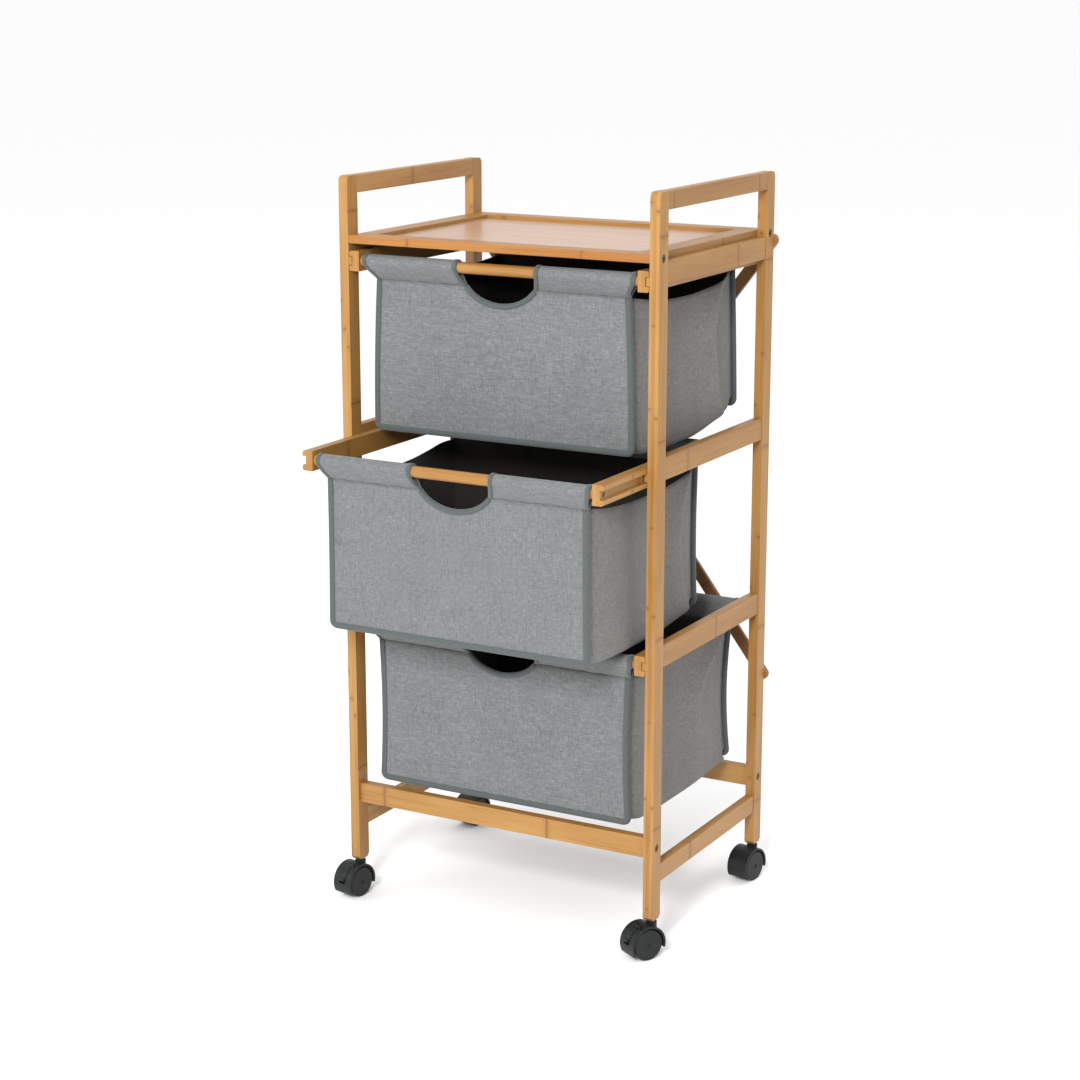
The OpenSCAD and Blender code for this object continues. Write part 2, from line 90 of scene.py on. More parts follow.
class Shader:
    """A material's node tree, built one node at a time."""

    def __init__(self, name: str) -> None:
        """Starts a material with a Principled surface.

        Args:
            name: the material's name.
        """
        self.material = bpy.data.materials.new(name)
        self.material.use_nodes = True
        self.tree = self.material.node_tree
        self.surface = self.tree.nodes["Principled BSDF"]

    def node(self, kind: str, inputs: dict | None = None, **settings: object) -> bpy.types.Node:
        """Adds a node.

        Args:
            kind: the node's type name, without its ShaderNode prefix.
            inputs: socket name or index to a value or to another node's output.
            settings: attributes set on the node.

        Returns:
            The new node.
        """
        made = self.tree.nodes.new("ShaderNode" + kind)
        for key, value in settings.items():
            setattr(made, key, value)
        for key, value in (inputs or {}).items():
            self.feed(made.inputs[key], value)
        return made

    def feed(self, socket: bpy.types.NodeSocket, value: object) -> None:
        """Links an output to a socket, or sets the socket's own value."""
        if isinstance(value, bpy.types.NodeSocket):
            self.tree.links.new(value, socket)
        else:
            socket.default_value = value

    def dress(self, inputs: dict[str, object]) -> None:
        """Feeds the surface's sockets, by their names."""
        for key, value in inputs.items():
            self.feed(self.surface.inputs[key], value)

    def math(self, operation: str, *values: object) -> bpy.types.NodeSocket:
        """Adds a Math node over numbers or sockets and returns its output."""
        inputs = dict(enumerate(values))
        return self.node("Math", inputs, operation=operation).outputs[0]

    def mix(self, factor: object, first: object, second: object,
            blend: str = "MIX") -> bpy.types.NodeSocket:
        """Mixes two colours.

        Args:
            factor: share of the second colour.
            first: first colour or socket.
            second: second colour or socket.
            blend: Blender's blend type.

        Returns:
            The mixed colour's socket.
        """
        made = self.node("Mix", data_type="RGBA", blend_type=blend)
        self.feed(made.inputs[0], factor)
        self.feed(made.inputs[6], _rgba(first))
        self.feed(made.inputs[7], _rgba(second))
        return made.outputs[2]

    def ramp(self, value: object, low: float, high: float) -> bpy.types.NodeSocket:
        """Maps low..high to 0..1, clamped, with a smooth step."""
        made = self.node("MapRange", {"Value": value, "From Min": low, "From Max": high},
                         interpolation_type="SMOOTHSTEP")
        return made.outputs[0]

    def stain(self, under: object, over: object, value: object, low: float, high: float,
              share: float) -> bpy.types.NodeSocket:
        """Mixes up to a share of a colour over another, where a value rises from low to high."""
        return self.mix(self.math("MULTIPLY", self.ramp(value, low, high), share), under, over)

    def noise(self, parts: Sequence[object], scales: Sequence[float],
              detail: float = 2.0) -> bpy.types.NodeSocket:
        """Returns the factor of a noise texture over coordinates with a scale each."""
        scaled = [self.math("MULTIPLY", part, scale) for part, scale in zip(parts, scales)]
        vector = self.node("CombineXYZ", dict(enumerate(scaled))).outputs[0]
        made = self.node("TexNoise", {"Vector": vector, "Scale": 1.0, "Detail": detail})
        return made.outputs["Fac"]

    def place(self, tilt: float = 0.0) -> list[bpy.types.NodeSocket]:
        """Gives the surface point's coordinates.

        Args:
            tilt: turn about Y in radians before they are read.

        Returns:
            The x, y and z sockets.
        """
        point = self.node("TexCoord").outputs["Object"]
        if tilt:
            turned = self.node("Mapping", {"Vector": point, "Rotation": (0.0, tilt, 0.0)})
            point = turned.outputs[0]
        return list(self.node("SeparateXYZ", {0: point}).outputs)

    def bump(self, height: object, strength: float, distance: float) -> None:
        """Adds a height to the surface's normal."""
        made = self.node("Bump", {"Height": height, "Strength": strength, "Distance": distance})
        self.feed(self.surface.inputs["Normal"], made.outputs[0])


def _rgba(colour: object) -> object:
    """Adds an alpha of one to a three-part colour, and leaves a socket alone."""
    return (*colour, 1.0) if isinstance(colour, tuple) and len(colour) == 3 else colour


# ------------------------------------------------------------------- finishes


@dataclass(frozen=True)
class BambooFinish:
    """Lacquered bamboo laminated from flat strips.

    The strips are thin across the piece's first cross axis and as wide as the
    piece across the second, so that broad faces show whole growth nodes and
    narrow ones the strips' edges.
    """

    name: str
    grain: Grain
    pale: Colour = (0.36, 0.190, 0.052)
    deep: Colour = (0.250, 0.115, 0.024)
    streak: Colour = (0.13, 0.048, 0.010)
    strip_t: float = 4.6 * MM
    strip_w: float = 1.0
    node_gap: float = 0.24
    node_half: float = 1.2 * MM
    roughness: float = 0.42
    coat: float = 0.05
    brace_tilt: float = math.radians(52.7)

    def _coordinates(self, shader: Shader) -> list[bpy.types.NodeSocket]:
        """Returns the along-grain coordinate, then the two across it."""
        tilts = {Grain.RISING: self.brace_tilt, Grain.FALLING: -self.brace_tilt}
        x, y, z = shader.place(tilts.get(self.grain, 0.0))
        if self.grain is Grain.DEEP:
            return [y, x, z]
        if self.grain is Grain.UPRIGHT:
            return [z, x, y]
        return [x, y, z]

    def _chance(self, shader: Shader, first: object, second: object) -> bpy.types.NodeSocket:
        """Returns a number from 0 to 1 that differs from strip to strip and piece to piece."""
        strips = [shader.math("FLOOR", shader.math("DIVIDE", part, pitch))
                  for part, pitch in ((first, self.strip_t), (second, self.strip_w))]
        piece = shader.math("MULTIPLY", shader.node("ObjectInfo").outputs["Random"], 57.0)
        key = shader.node("CombineXYZ", {0: strips[0], 1: strips[1], 2: piece}).outputs[0]
        return shader.node("TexWhiteNoise", {"Vector": key}, noise_dimensions="3D").outputs["Value"]

    def _rings(self, shader: Shader, along: object, chance: object,
               fibre: object) -> tuple[bpy.types.NodeSocket, bpy.types.NodeSocket]:
        """Returns the growth nodes' fine dark line and the soft shade around it."""
        turn = shader.math("ADD", shader.math("DIVIDE", along, self.node_gap),
                           shader.math("MULTIPLY", chance, 7.31))
        off = shader.math("ABSOLUTE", shader.math("SUBTRACT", shader.math("FRACT", turn), 0.5))
        wobble = shader.math("MULTIPLY", shader.math("SUBTRACT", fibre, 0.5), 2.4 * MM)
        near = shader.math("ADD", shader.math("MULTIPLY", off, self.node_gap), wobble)
        line = shader.ramp(near, self.node_half * 0.3, self.node_half * 1.8)
        shade = shader.ramp(near, self.node_half, self.node_half * 7)
        return shader.math("SUBTRACT", 1.0, line), shader.math("SUBTRACT", 1.0, shade)

    def build(self) -> bpy.types.Material:
        """Builds the material: strips, growth nodes, fibres and pores."""
        shader = Shader(self.name)
        along, first, second = self._coordinates(shader)
        chance = self._chance(shader, first, second)
        parts = (along, first, second)
        fibre = shader.noise(parts, (9.0, 560.0, 560.0), 4.0)
        hair = shader.noise(parts, (36.0, 2400.0, 2400.0), 2.0)
        cloud = shader.noise(parts, (5.0, 34.0, 34.0), 3.0)

        tone = shader.math("ADD", shader.math("MULTIPLY", chance, 0.50),
                           shader.math("MULTIPLY", shader.ramp(cloud, 0.32, 0.68), 0.55))
        wood = shader.mix(tone, self.pale, self.deep)
        wood = shader.stain(wood, self.streak, fibre, 0.50, 0.76, 0.46)
        pore = shader.ramp(hair, 0.60, 0.74)
        wood = shader.mix(shader.math("MULTIPLY", pore, 0.34), wood, self.streak)
        ring, halo = self._rings(shader, along, chance, fibre)
        wood = shader.mix(shader.math("MULTIPLY", halo, 0.55), wood, self.deep)
        wood = shader.mix(shader.math("MULTIPLY", ring, 0.60), wood, self.streak)

        rough = shader.math("ADD", shader.math("MULTIPLY", fibre, 0.14), self.roughness - 0.07)
        shader.dress({"Base Color": wood, "Roughness": rough, "Coat Weight": self.coat,
                      "Coat Roughness": 0.28, "Specular IOR Level": 0.35})
        grain = shader.math("SUBTRACT", shader.math("MULTIPLY", fibre, 0.7),
                            shader.math("MULTIPLY", pore, 0.5))
        height = shader.math("ADD", grain, shader.math("MULTIPLY", ring, 0.6))
        shader.bump(height, 0.3, 0.15 * MM)
        return shader.material


@dataclass(frozen=True)
class VeneerFinish:
    """Satin veneer of the shelf panel, pinker than the frame, with its grain across."""

    name: str = "shelf_veneer"
    pale: Colour = (0.43, 0.265, 0.165)
    deep: Colour = (0.34, 0.190, 0.108)
    streak: Colour = (0.22, 0.115, 0.060)
    leaf: float = 0.062
    roughness: float = 0.33

    def build(self) -> bpy.types.Material:
        """Builds the material: wide veneer leaves with fine straight grain."""
        shader = Shader(self.name)
        x, y, z = shader.place()
        leaf_no = shader.math("FLOOR", shader.math("DIVIDE", y, self.leaf))
        dice = shader.node("TexWhiteNoise", {"W": leaf_no}, noise_dimensions="1D")
        chance = dice.outputs["Value"]
        shifted = shader.math("ADD", x, shader.math("MULTIPLY", chance, 3.0))
        band = shader.noise((shifted, y, z), (5.0, 160.0, 160.0), 4.0)
        fine = shader.noise((shifted, y, z), (30.0, 1500.0, 1500.0), 3.0)
        wood = shader.mix(shader.ramp(band, 0.34, 0.68), self.pale, self.deep)
        wood = shader.mix(shader.math("MULTIPLY", chance, 0.15), wood, self.deep)
        wood = shader.stain(wood, self.streak, fine, 0.56, 0.72, 0.30)
        rough = shader.math("ADD", shader.math("MULTIPLY", fine, 0.12), self.roughness - 0.06)
        shader.dress({"Base Color": wood, "Roughness": rough, "Coat Weight": 0.2,
                      "Coat Roughness": 0.22})
        shader.bump(fine, 0.15, 0.08 * MM)
        return shader.material


@dataclass(frozen=True)
class WeaveFinish:
    """Plain-woven melange cloth: a base tone with lighter and darker yarn flecks."""

    name: str
    base: Colour
    light: Colour
    dark: Colour
    pitch: float = 1.0 * MM
    fleck: float = 0.50
    roughness: float = 0.88
    sheen: float = 0.15

    def build(self) -> bpy.types.Material:
        """Builds the material: slubby yarn flecks both ways over a fine weave."""
        shader = Shader(self.name)
        x, y, z = shader.place()
        fill = shader.noise((x, y, z), (150.0, 150.0, 1150.0), 2.0)
        warp = shader.noise((x, y, z), (1150.0, 1150.0, 150.0), 2.0)
        slub = shader.noise((x, y, z), (26.0, 26.0, 620.0), 2.0)
        ladder = shader.noise((x, y, z), (620.0, 620.0, 26.0), 2.0)
        cloud = shader.noise((x, y, z), (14.0, 14.0, 14.0), 3.0)
        cloth = shader.stain(self.base, self.light, fill, 0.42, 0.72, self.fleck)
        cloth = shader.stain(cloth, self.dark, warp, 0.42, 0.72, self.fleck)
        lines = shader.math("ADD", shader.ramp(slub, 0.52, 0.72), shader.ramp(ladder, 0.52, 0.72))
        cloth = shader.mix(shader.math("MULTIPLY", lines, 0.20), cloth, self.dark)
        cloth = shader.stain(cloth, self.dark, cloud, 0.35, 0.7, 0.10)
        turns = 2 * math.pi / self.pitch
        waves = [shader.math("SINE", shader.math("MULTIPLY", part, turns)) for part in (x, y, z)]
        weave = shader.math("MULTIPLY", shader.math("ADD", waves[0], waves[1]), waves[2])
        knots = shader.math("MULTIPLY", shader.math("ADD", weave, 2.0), 0.25)
        cloth = shader.mix(shader.math("MULTIPLY", knots, 0.16), cloth, self.dark)
        shader.dress({"Base Color": cloth, "Roughness": self.roughness, "Specular IOR Level": 0.2,
                      "Sheen Weight": self.sheen, "Sheen Roughness": 0.5})
        yarn = shader.math("MULTIPLY", shader.math("ADD", fill, warp), 0.5)
        shader.bump(shader.math("ADD", knots, yarn), 0.35, 0.2 * MM)
        return shader.material


@dataclass(frozen=True)
class TapeFinish:
    """Ribbed binding tape."""

    name: str = "binding_tape"
    base: Colour = (0.058, 0.070, 0.070)
    dark: Colour = (0.030, 0.037, 0.037)
    rib: float = 0.9 * MM

    def build(self) -> bpy.types.Material:
        """Builds the material: fine ribs with a little yarn variation."""
        shader = Shader(self.name)
        x, y, z = shader.place()
        turns = 2 * math.pi / self.rib
        total = shader.math("ADD", shader.math("ADD", x, y), z)
        ribs = shader.math("SINE", shader.math("MULTIPLY", total, turns))
        yarn = shader.noise((x, y, z), (500.0, 500.0, 500.0), 3.0)
        groove = shader.math("MULTIPLY", shader.math("ADD", ribs, 1.0), 0.5)
        tape = shader.mix(shader.math("MULTIPLY", groove, 0.30), self.base, self.dark)
        tape = shader.stain(tape, self.dark, yarn, 0.45, 0.7, 0.45)
        shader.dress({"Base Color": tape, "Roughness": 0.8, "Sheen Weight": 0.2})
        shader.bump(shader.math("ADD", groove, yarn), 0.3, 0.2 * MM)
        return shader.material


@dataclass(frozen=True)
class PlasticFinish:
    """Moulded nylon with a fine spark-eroded texture."""

    name: str = "caster_nylon"
    base: Colour = (0.0075, 0.0085, 0.0088)
    worn: Colour = (0.016, 0.018, 0.0185)
    roughness: float = 0.42

    def build(self) -> bpy.types.Material:
        """Builds the material: speckled black with softly varied gloss."""
        shader = Shader(self.name)
        x, y, z = shader.place()
        grit = shader.noise((x, y, z), (1400.0,) * 3, 2.0)
        smear = shader.noise((x, y, z), (60.0,) * 3, 3.0)
        shade = shader.stain(self.base, self.worn, smear, 0.45, 0.75, 0.5)
        rough = shader.math("ADD", shader.math("MULTIPLY", smear, 0.18), self.roughness - 0.05)
        shader.dress({"Base Color": shade, "Roughness": rough, "Specular IOR Level": 0.28})
        shader.bump(grit, 0.2, 0.08 * MM)
        return shader.material


@dataclass(frozen=True)
class SteelFinish:
    """Bronzed fastener steel with a patchy tone."""

    name: str = "fastener_bronze"
    base: Colour = (0.115, 0.080, 0.050)
    dark: Colour = (0.040, 0.030, 0.022)
    roughness: float = 0.38

    def build(self) -> bpy.types.Material:
        """Builds the material: plated metal with a patchy tone."""
        shader = Shader(self.name)
        x, y, z = shader.place()
        patch = shader.noise((x, y, z), (420.0,) * 3, 3.0)
        tone = shader.mix(shader.ramp(patch, 0.35, 0.7), self.base, self.dark)
        rough = shader.math("ADD", shader.math("MULTIPLY", patch, 0.2), self.roughness - 0.08)
        shader.dress({"Base Color": tone, "Metallic": 0.85, "Roughness": rough})
        shader.bump(patch, 0.1, 0.05 * MM)
        return shader.material


@dataclass
class Palette:
    """All finishes, each built once."""

    wood: dict[Grain, bpy.types.Material] = field(default_factory=dict)
    edge_wood: bpy.types.Material | None = None
    cloth: bpy.types.Material | None = None
    side_cloth: bpy.types.Material | None = None
    # Near-black cloth for the baskets' inner faces: painted shade for their dark insides.
    inside_shade: bpy.types.Material | None = None
    tape: bpy.types.Material | None = None
    thread: bpy.types.Material | None = None
    veneer: bpy.types.Material | None = None
    nylon: bpy.types.Material | None = None
    bronze: bpy.types.Material | None = None

    def build(self) -> "Palette":
        """Builds every material and returns the palette."""
        russet = {"pale": (0.26, 0.125, 0.045), "deep": (0.17, 0.072, 0.022),
                  "streak": (0.10, 0.038, 0.012)}
        for grain in Grain:
            tones = russet if grain in (Grain.RISING, Grain.FALLING) else {}
            self.wood[grain] = BambooFinish(f"bamboo_{grain.value}", grain, **tones).build()
        self.edge_wood = BambooFinish("bamboo_shelf_edge", Grain.ACROSS, pale=(0.36, 0.158, 0.036),
                                      deep=(0.27, 0.105, 0.018)).build()
        self.cloth = WeaveFinish("basket_cloth", (0.137, 0.144, 0.145), (0.250, 0.261, 0.263),
                                 (0.057, 0.060, 0.061)).build()
        self.side_cloth = WeaveFinish("basket_side_cloth", (0.140, 0.136, 0.128),
                                      (0.250, 0.244, 0.231), (0.058, 0.056, 0.052)).build()
        # Near-black cloth on every inner face of the baskets: painted shade for the dark inside of
        # the baskets.
        self.inside_shade = WeaveFinish("black_lining", (0.020, 0.018, 0.016), (0.042, 0.038, 0.034),
                                  (0.009, 0.008, 0.007), sheen=0.08).build()
        self.thread = WeaveFinish("sewing_thread", (0.105, 0.125, 0.13), (0.17, 0.19, 0.20),
                                  (0.06, 0.07, 0.075)).build()
        self.tape = TapeFinish().build()
        self.veneer = VeneerFinish().build()
        self.nylon = PlasticFinish().build()
        self.bronze = SteelFinish().build()
        log.info("palette: %d wood finishes and 8 others", len(self.wood) + 1)
        return self


# ----------------------------------------------------------------- mesh making


@dataclass
class MeshDraft:
    """Vertices and faces gathered for one piece."""

    points: list[Vector] = field(default_factory=list)
    faces: list[tuple[int, ...]] = field(default_factory=list)

    def grid(self, rows: Sequence[Sequence[Vector]], closed: bool = False) -> None:
        """Adds a quad sheet.

        Args:
            rows: rows of equal length.
            closed: True to join each row's last point to its first.
        """
        start = len(self.points)
        width = len(rows[0])
        for row in rows:
            self.points.extend(Vector(point) for point in row)
        for i in range(len(rows) - 1):
            for j in range(width if closed else width - 1):
                k = (j + 1) % width
                a, b = start + i * width, start + (i + 1) * width
                self.faces.append((a + j, a + k, b + k, b + j))

    def cap(self, ring: Sequence[Vector], flip: bool = False) -> None:
        """Closes a ring of points with one face."""
        start = len(self.points)
        self.points.extend(Vector(point) for point in ring)
        order = tuple(range(start, start + len(ring)))
        self.faces.append(order[::-1] if flip else order)

    def build(self, name: str, finishes: Sequence[bpy.types.Material],
              smooth: bool = True) -> bpy.types.Object:
        """Makes the mesh object.

        Args:
            name: the object's name.
            finishes: materials for its slots.
            smooth: True for smooth shading.

        Returns:
            The object, linked to the scene.
        """
        mesh = bpy.data.meshes.new(name)
        mesh.from_pydata([tuple(point) for point in self.points], [], self.faces)
        solid = bmesh.new()
        solid.from_mesh(mesh)
        bmesh.ops.remove_doubles(solid, verts=solid.verts, dist=1e-6)
        bmesh.ops.recalc_face_normals(solid, faces=solid.faces)
        solid.to_mesh(mesh)
        solid.free()
        for finish in finishes:
            mesh.materials.append(finish)
        mesh.polygons.foreach_set("use_smooth", [smooth] * len(mesh.polygons))
        made = bpy.data.objects.new(name, mesh)
        bpy.context.scene.collection.objects.link(made)
        return made


def thicken(piece: bpy.types.Object, thickness: float, offset: float = 0.0,
            inner_slot: int = 0, rim_slot: int = 0) -> None:
    """Gives a sheet its thickness.

    Args:
        piece: the sheet.
        thickness: total thickness.
        offset: -1 grows against the normals, 1 along them.
        inner_slot: steps to the second face's material slot.
        rim_slot: steps to the rim's material slot.
    """
    solidify = piece.modifiers.new("thickness", "SOLIDIFY")
    solidify.thickness = thickness
    solidify.offset = offset
    solidify.use_even_offset = True
    solidify.material_offset = inner_slot
    solidify.material_offset_rim = rim_slot


def eased_copy(node: str, finish: bpy.types.Material, body: str, ease: float,
               segments: int = 3) -> bpy.types.Object:
    """Makes a piece of a node's own shape with rounded-over edges, to stand for it.

    Args:
        node: the CAD node.
        finish: its material.
        body: the body that it rides on.
        ease: radius of the rounding.
        segments: facets across each rounding.

    Returns:
        The new piece.
    """
    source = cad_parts[node]
    mesh = source.data.copy()
    mesh.name = f"{node}_eased"
    mesh.materials.clear()
    mesh.materials.append(finish)
    solid = bmesh.new()
    solid.from_mesh(mesh)
    bmesh.ops.remove_doubles(solid, verts=solid.verts, dist=2e-6)
    bmesh.ops.dissolve_limit(solid, angle_limit=math.radians(0.5), verts=solid.verts,
                             edges=solid.edges, delimit={"NORMAL"})
    sharp = [edge for edge in solid.edges
             if edge.is_manifold and edge.calc_face_angle(0.0) > math.radians(30)]
    bmesh.ops.bevel(solid, geom=sharp, offset=ease, offset_type="OFFSET", segments=segments,
                    profile=0.5, affect="EDGES", clamp_overlap=True)
    for face in solid.faces:
        face.smooth = True
        face.material_index = 0
    solid.to_mesh(mesh)
    solid.free()
    made = bpy.data.objects.new(f"{node}_eased", mesh)
    bpy.context.scene.collection.objects.link(made)
    weighted = made.modifiers.new("flat_faces", "WEIGHTED_NORMAL")
    weighted.keep_sharp = False
    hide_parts(node)
    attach(made, body)
    log.info("eased %s on %s", node, body)
    return made


# ------------------------------------------------------------------ the frame


@dataclass
class BambooFrame:
    """Posts, handle rails, side rails, runner strips and stretchers."""

    palette: Palette
    post_ease: float = 1.6 * MM
    rail_ease: float = 1.4 * MM
    strip_ease: float = 0.7 * MM
    body: str = "frame"

    def build(self) -> None:
        """Builds every fixed bamboo piece."""
        self._posts()
        self._rails()
        self._stretchers()

    def _posts(self) -> None:
        """Rounds over the four posts."""
        for end in ("front", "rear"):
            for side in ("left", "right"):
                eased_copy(f"post_{end}_{side}", self.palette.wood[Grain.UPRIGHT], self.body,
                           self.post_ease)

    def _rails(self) -> None:
        """Rounds over what runs from front to back."""
        for side in ("left", "right"):
            names = [f"handle_rail_{side}", f"low_rail_{side}"]
            names += [f"side_rail_{side}_{level.value}" for level in Level]
            for name in names:
                eased_copy(name, self.palette.wood[Grain.DEEP], self.body, self.rail_ease)
            eased_copy(f"runner_strips_{side}", self.palette.wood[Grain.DEEP], self.body,
                       self.strip_ease, segments=2)

    def _stretchers(self) -> None:
        """Rounds over the two stretchers."""
        for end in ("front", "rear"):
            eased_copy(f"stretcher_{end}", self.palette.wood[Grain.ACROSS], self.body,
                       self.rail_ease)


@dataclass
class TrayShelf:
    """The shelf on top: a veneered panel in a raised border."""

    palette: Palette
    ease: float = 1.4 * MM
    body: str = "frame"

    def build(self) -> None:
        """Builds the recessed panel and its border."""
        eased_copy("shelf_panel", self.palette.veneer, self.body, 0.3 * MM, segments=2)
        eased_copy("shelf_rail_front", self.palette.edge_wood, self.body, self.ease)
        eased_copy("shelf_rail_rear", self.palette.wood[Grain.ACROSS], self.body, self.ease)
        for name in ("shelf_side_left", "shelf_side_right"):
            eased_copy(name, self.palette.wood[Grain.DEEP], self.body, self.ease)


@dataclass
class CrossBrace:
    """The two bars across the back, half-lapped where they cross."""

    palette: Palette
    bar_w: float = 16.0 * MM
    ease: float = 1.2 * MM
    run_out: float = 14.0 * MM
    body: str = "frame"

    def _ring(self, along: float, half: float, depth: tuple[float, float],
              slant: float) -> list[Vector]:
        """One rounded section of a bar lying along X.

        Args:
            along: the section's place.
            half: half the bar's width there.
            depth: its lowest and highest y.
            slant: how far the section leans along the bar, per unit across it.

        Returns:
            Sixteen points round the section.
        """
        low, high = depth
        ease = min(self.ease, half * 0.7, (high - low) * 0.35)
        ring = []
        for turn in range(4):
            across = half - ease if turn in (0, 3) else ease - half
            level = high - ease if turn in (0, 1) else low + ease
            for step in range(4):
                angle = math.pi / 2 * (turn + step / 3)
                v = across + ease * math.cos(angle)
                ring.append(Vector((along + slant * v, level + ease * math.sin(angle), v)))
        return ring

    def _bar(self, node: str, grain: Grain) -> None:
        """Builds one bar with round ends and its half of the lap."""
        lo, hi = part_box(node)
        r = self.bar_w / 2
        rise = 1 if grain is Grain.RISING else -1
        up, over = (hi.z - lo.z) / 2 - r, (hi.x - lo.x) / 2 - r
        tilt, reach = math.atan2(up, over), math.hypot(up, over)
        mid_y = (lo.y + hi.y) / 2
        full = (lo.y, hi.y)
        lap = (lo.y, mid_y) if rise > 0 else (mid_y, hi.y)
        slant = -rise / math.tan(2 * tilt)
        shoulder = r / math.sin(2 * tilt)

        ends = [math.pi / 2 * (i + 1) / 10 for i in range(10)]
        tip = [self._ring(-reach - r * math.cos(a), r * math.sin(a), full, 0.0) for a in ends]
        inner = -shoulder - self.run_out
        shank = [self._ring(-reach + (inner + reach) * i / 8, r, full, 0.0) for i in range(1, 9)]
        notch = [self._ring(at, r, depth, slant)
                 for at, depth in ((-shoulder, full), (-shoulder, lap), (0.0, lap),
                                   (shoulder, lap), (shoulder, full))]
        mirrored = [[Vector((-p.x, p.y, p.z)) for p in ring] for ring in reversed(tip + shank)]
        rings = tip + shank + notch + mirrored
        middle = Vector(((lo.x + hi.x) / 2, 0, (lo.z + hi.z) / 2))
        cos_t, sin_t = math.cos(tilt), rise * math.sin(tilt)
        placed = [[middle + Vector((p.x * cos_t - p.z * sin_t, p.y, p.x * sin_t + p.z * cos_t))
                   for p in ring] for ring in rings]
        draft = MeshDraft()
        draft.grid(placed, closed=True)
        draft.cap(placed[0])
        draft.cap(placed[-1], flip=True)
        made = draft.build(f"{node}_bar", [self.palette.wood[grain]])
        made.modifiers.new("flat_faces", "WEIGHTED_NORMAL")
        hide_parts(node)
        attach(made, self.body)
        log.info("%s: %d faces", made.name, len(made.data.polygons))

    def build(self) -> None:
        """Builds both bars."""
        self._bar("brace_rising", Grain.RISING)
        self._bar("brace_falling", Grain.FALLING)


@dataclass
class FrameFasteners:
    """Socket-head bolts in the posts and pan-head screws in the brace."""

    palette: Palette
    head_r: float = 4.4 * MM
    head_t: float = 3.0 * MM
    socket_r: float = 2.3 * MM
    socket_depth: float = 1.8 * MM
    shank_r: float = 2.4 * MM
    bolt_sink: float = 3.5 * MM
    bolt_len: float = 36.0 * MM
    screw_r: float = 4.0 * MM
    screw_t: float = 2.0 * MM
    brace_screw: float = 14.0 * MM
    brace_slope: float = 1.06
    body: str = "frame"

    def _head(self, draft: MeshDraft, at: Vector, out: Vector, radius: float, height: float,
              length: float) -> None:
        """Adds one fastener with a hexagon socket.

        Args:
            draft: the mesh that it joins.
            at: centre of the head's seat.
            out: direction that the head faces.
            radius: the head's radius.
            height: the head's height.
            length: the shank's length.
        """
        side = out.orthogonal().normalized()
        other = out.cross(side)

        def ring(r: float, h: float, hexagon: bool = False) -> list[Vector]:
            """A ring of points round the axis, or round a hexagon of that inner radius."""
            points = []
            for i in range(24):
                angle = 2 * math.pi * i / 24
                reach = r / math.cos((angle % (math.pi / 3)) - math.pi / 6) if hexagon else r
                points.append(at + out * h + side * reach * math.cos(angle)
                              + other * reach * math.sin(angle))
            return points

        soft = 0.5 * MM
        rings = [ring(self.shank_r, -length), ring(self.shank_r, 0), ring(radius, 0),
                 ring(radius, height - soft), ring(radius - soft, height),
                 ring(self.socket_r * 0.88, height, hexagon=True),
                 ring(self.socket_r * 0.86, height - self.socket_depth, hexagon=True)]
        draft.grid(rings, closed=True)
        draft.cap(rings[0])
        draft.cap(rings[-1], flip=True)

    def build(self) -> None:
        """Builds every fastener of the frame in one piece."""
        draft = MeshDraft()
        shelf_lo, shelf_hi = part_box("shelf_rail_front")
        beam_lo, beam_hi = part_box("stretcher_front")
        for end in ("front", "rear"):
            for side in Side:
                lo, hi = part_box(f"post_{end}_{side.name.lower()}")
                out = Vector((side.value, 0, 0))
                face_x = hi.x if side is Side.RIGHT else lo.x
                for z in ((shelf_lo.z + shelf_hi.z) / 2, (beam_lo.z + beam_hi.z) / 2):
                    seat = Vector((face_x - side.value * self.bolt_sink, (lo.y + hi.y) / 2, z))
                    self._head(draft, seat, out, self.head_r, self.head_t, self.bolt_len)
        brace_lo, brace_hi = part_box("brace_rising")
        post_lo, post_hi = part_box("post_rear_right")
        rise = (brace_hi.x - (post_lo.x + post_hi.x) / 2) * self.brace_slope
        for side in Side:
            lo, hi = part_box(f"post_rear_{side.name.lower()}")
            for z in (brace_hi.z - rise, brace_lo.z + rise):
                seat = Vector(((lo.x + hi.x) / 2, brace_hi.y, z))
                self._head(draft, seat, Vector((0, 1, 0)), self.screw_r, self.screw_t,
                           self.brace_screw)
        made = draft.build("frame_fasteners", [self.palette.bronze])
        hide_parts("frame_screws")
        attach(made, self.body)
        log.info("frame fasteners: %d faces", len(made.data.polygons))


# ---------------------------------------------------------------- the baskets


@dataclass(frozen=True)
class Hang:
    """How one basket hangs; every length is in metres."""

    seam_pull: float
    waist: float
    side_sag: float
    floor_sag: float
    rear_lift: float
    rear_bow: float
    swell: float
    ridge: float
    ridge_reach: float
    ridge_power: float
    wave: float


HANGS = {
    Level.TOP: Hang(6.0 * MM, 0.0, 15.0 * MM, 11.0 * MM, 15.0 * MM, 2.0 * MM,
                    2.0 * MM, 11.0 * MM, 0.29, 0.35, 1.4 * MM),
    Level.MIDDLE: Hang(1.5 * MM, 1.0 * MM, 13.0 * MM, 11.0 * MM, 6.0 * MM, 3.0 * MM,
                       3.0 * MM, 8.5 * MM, 0.22, 0.50, 5.0 * MM),
    Level.BOTTOM: Hang(1.0 * MM, 3.5 * MM, 6.0 * MM, 9.5 * MM, 4.0 * MM, 6.0 * MM,
                       2.5 * MM, 10.5 * MM, 0.38, 0.80, 2.6 * MM),
}


def smooth(share: float) -> float:
    """A smooth step from 0 to 1."""
    share = min(1.0, max(0.0, share))
    return share * share * (3 - 2 * share)


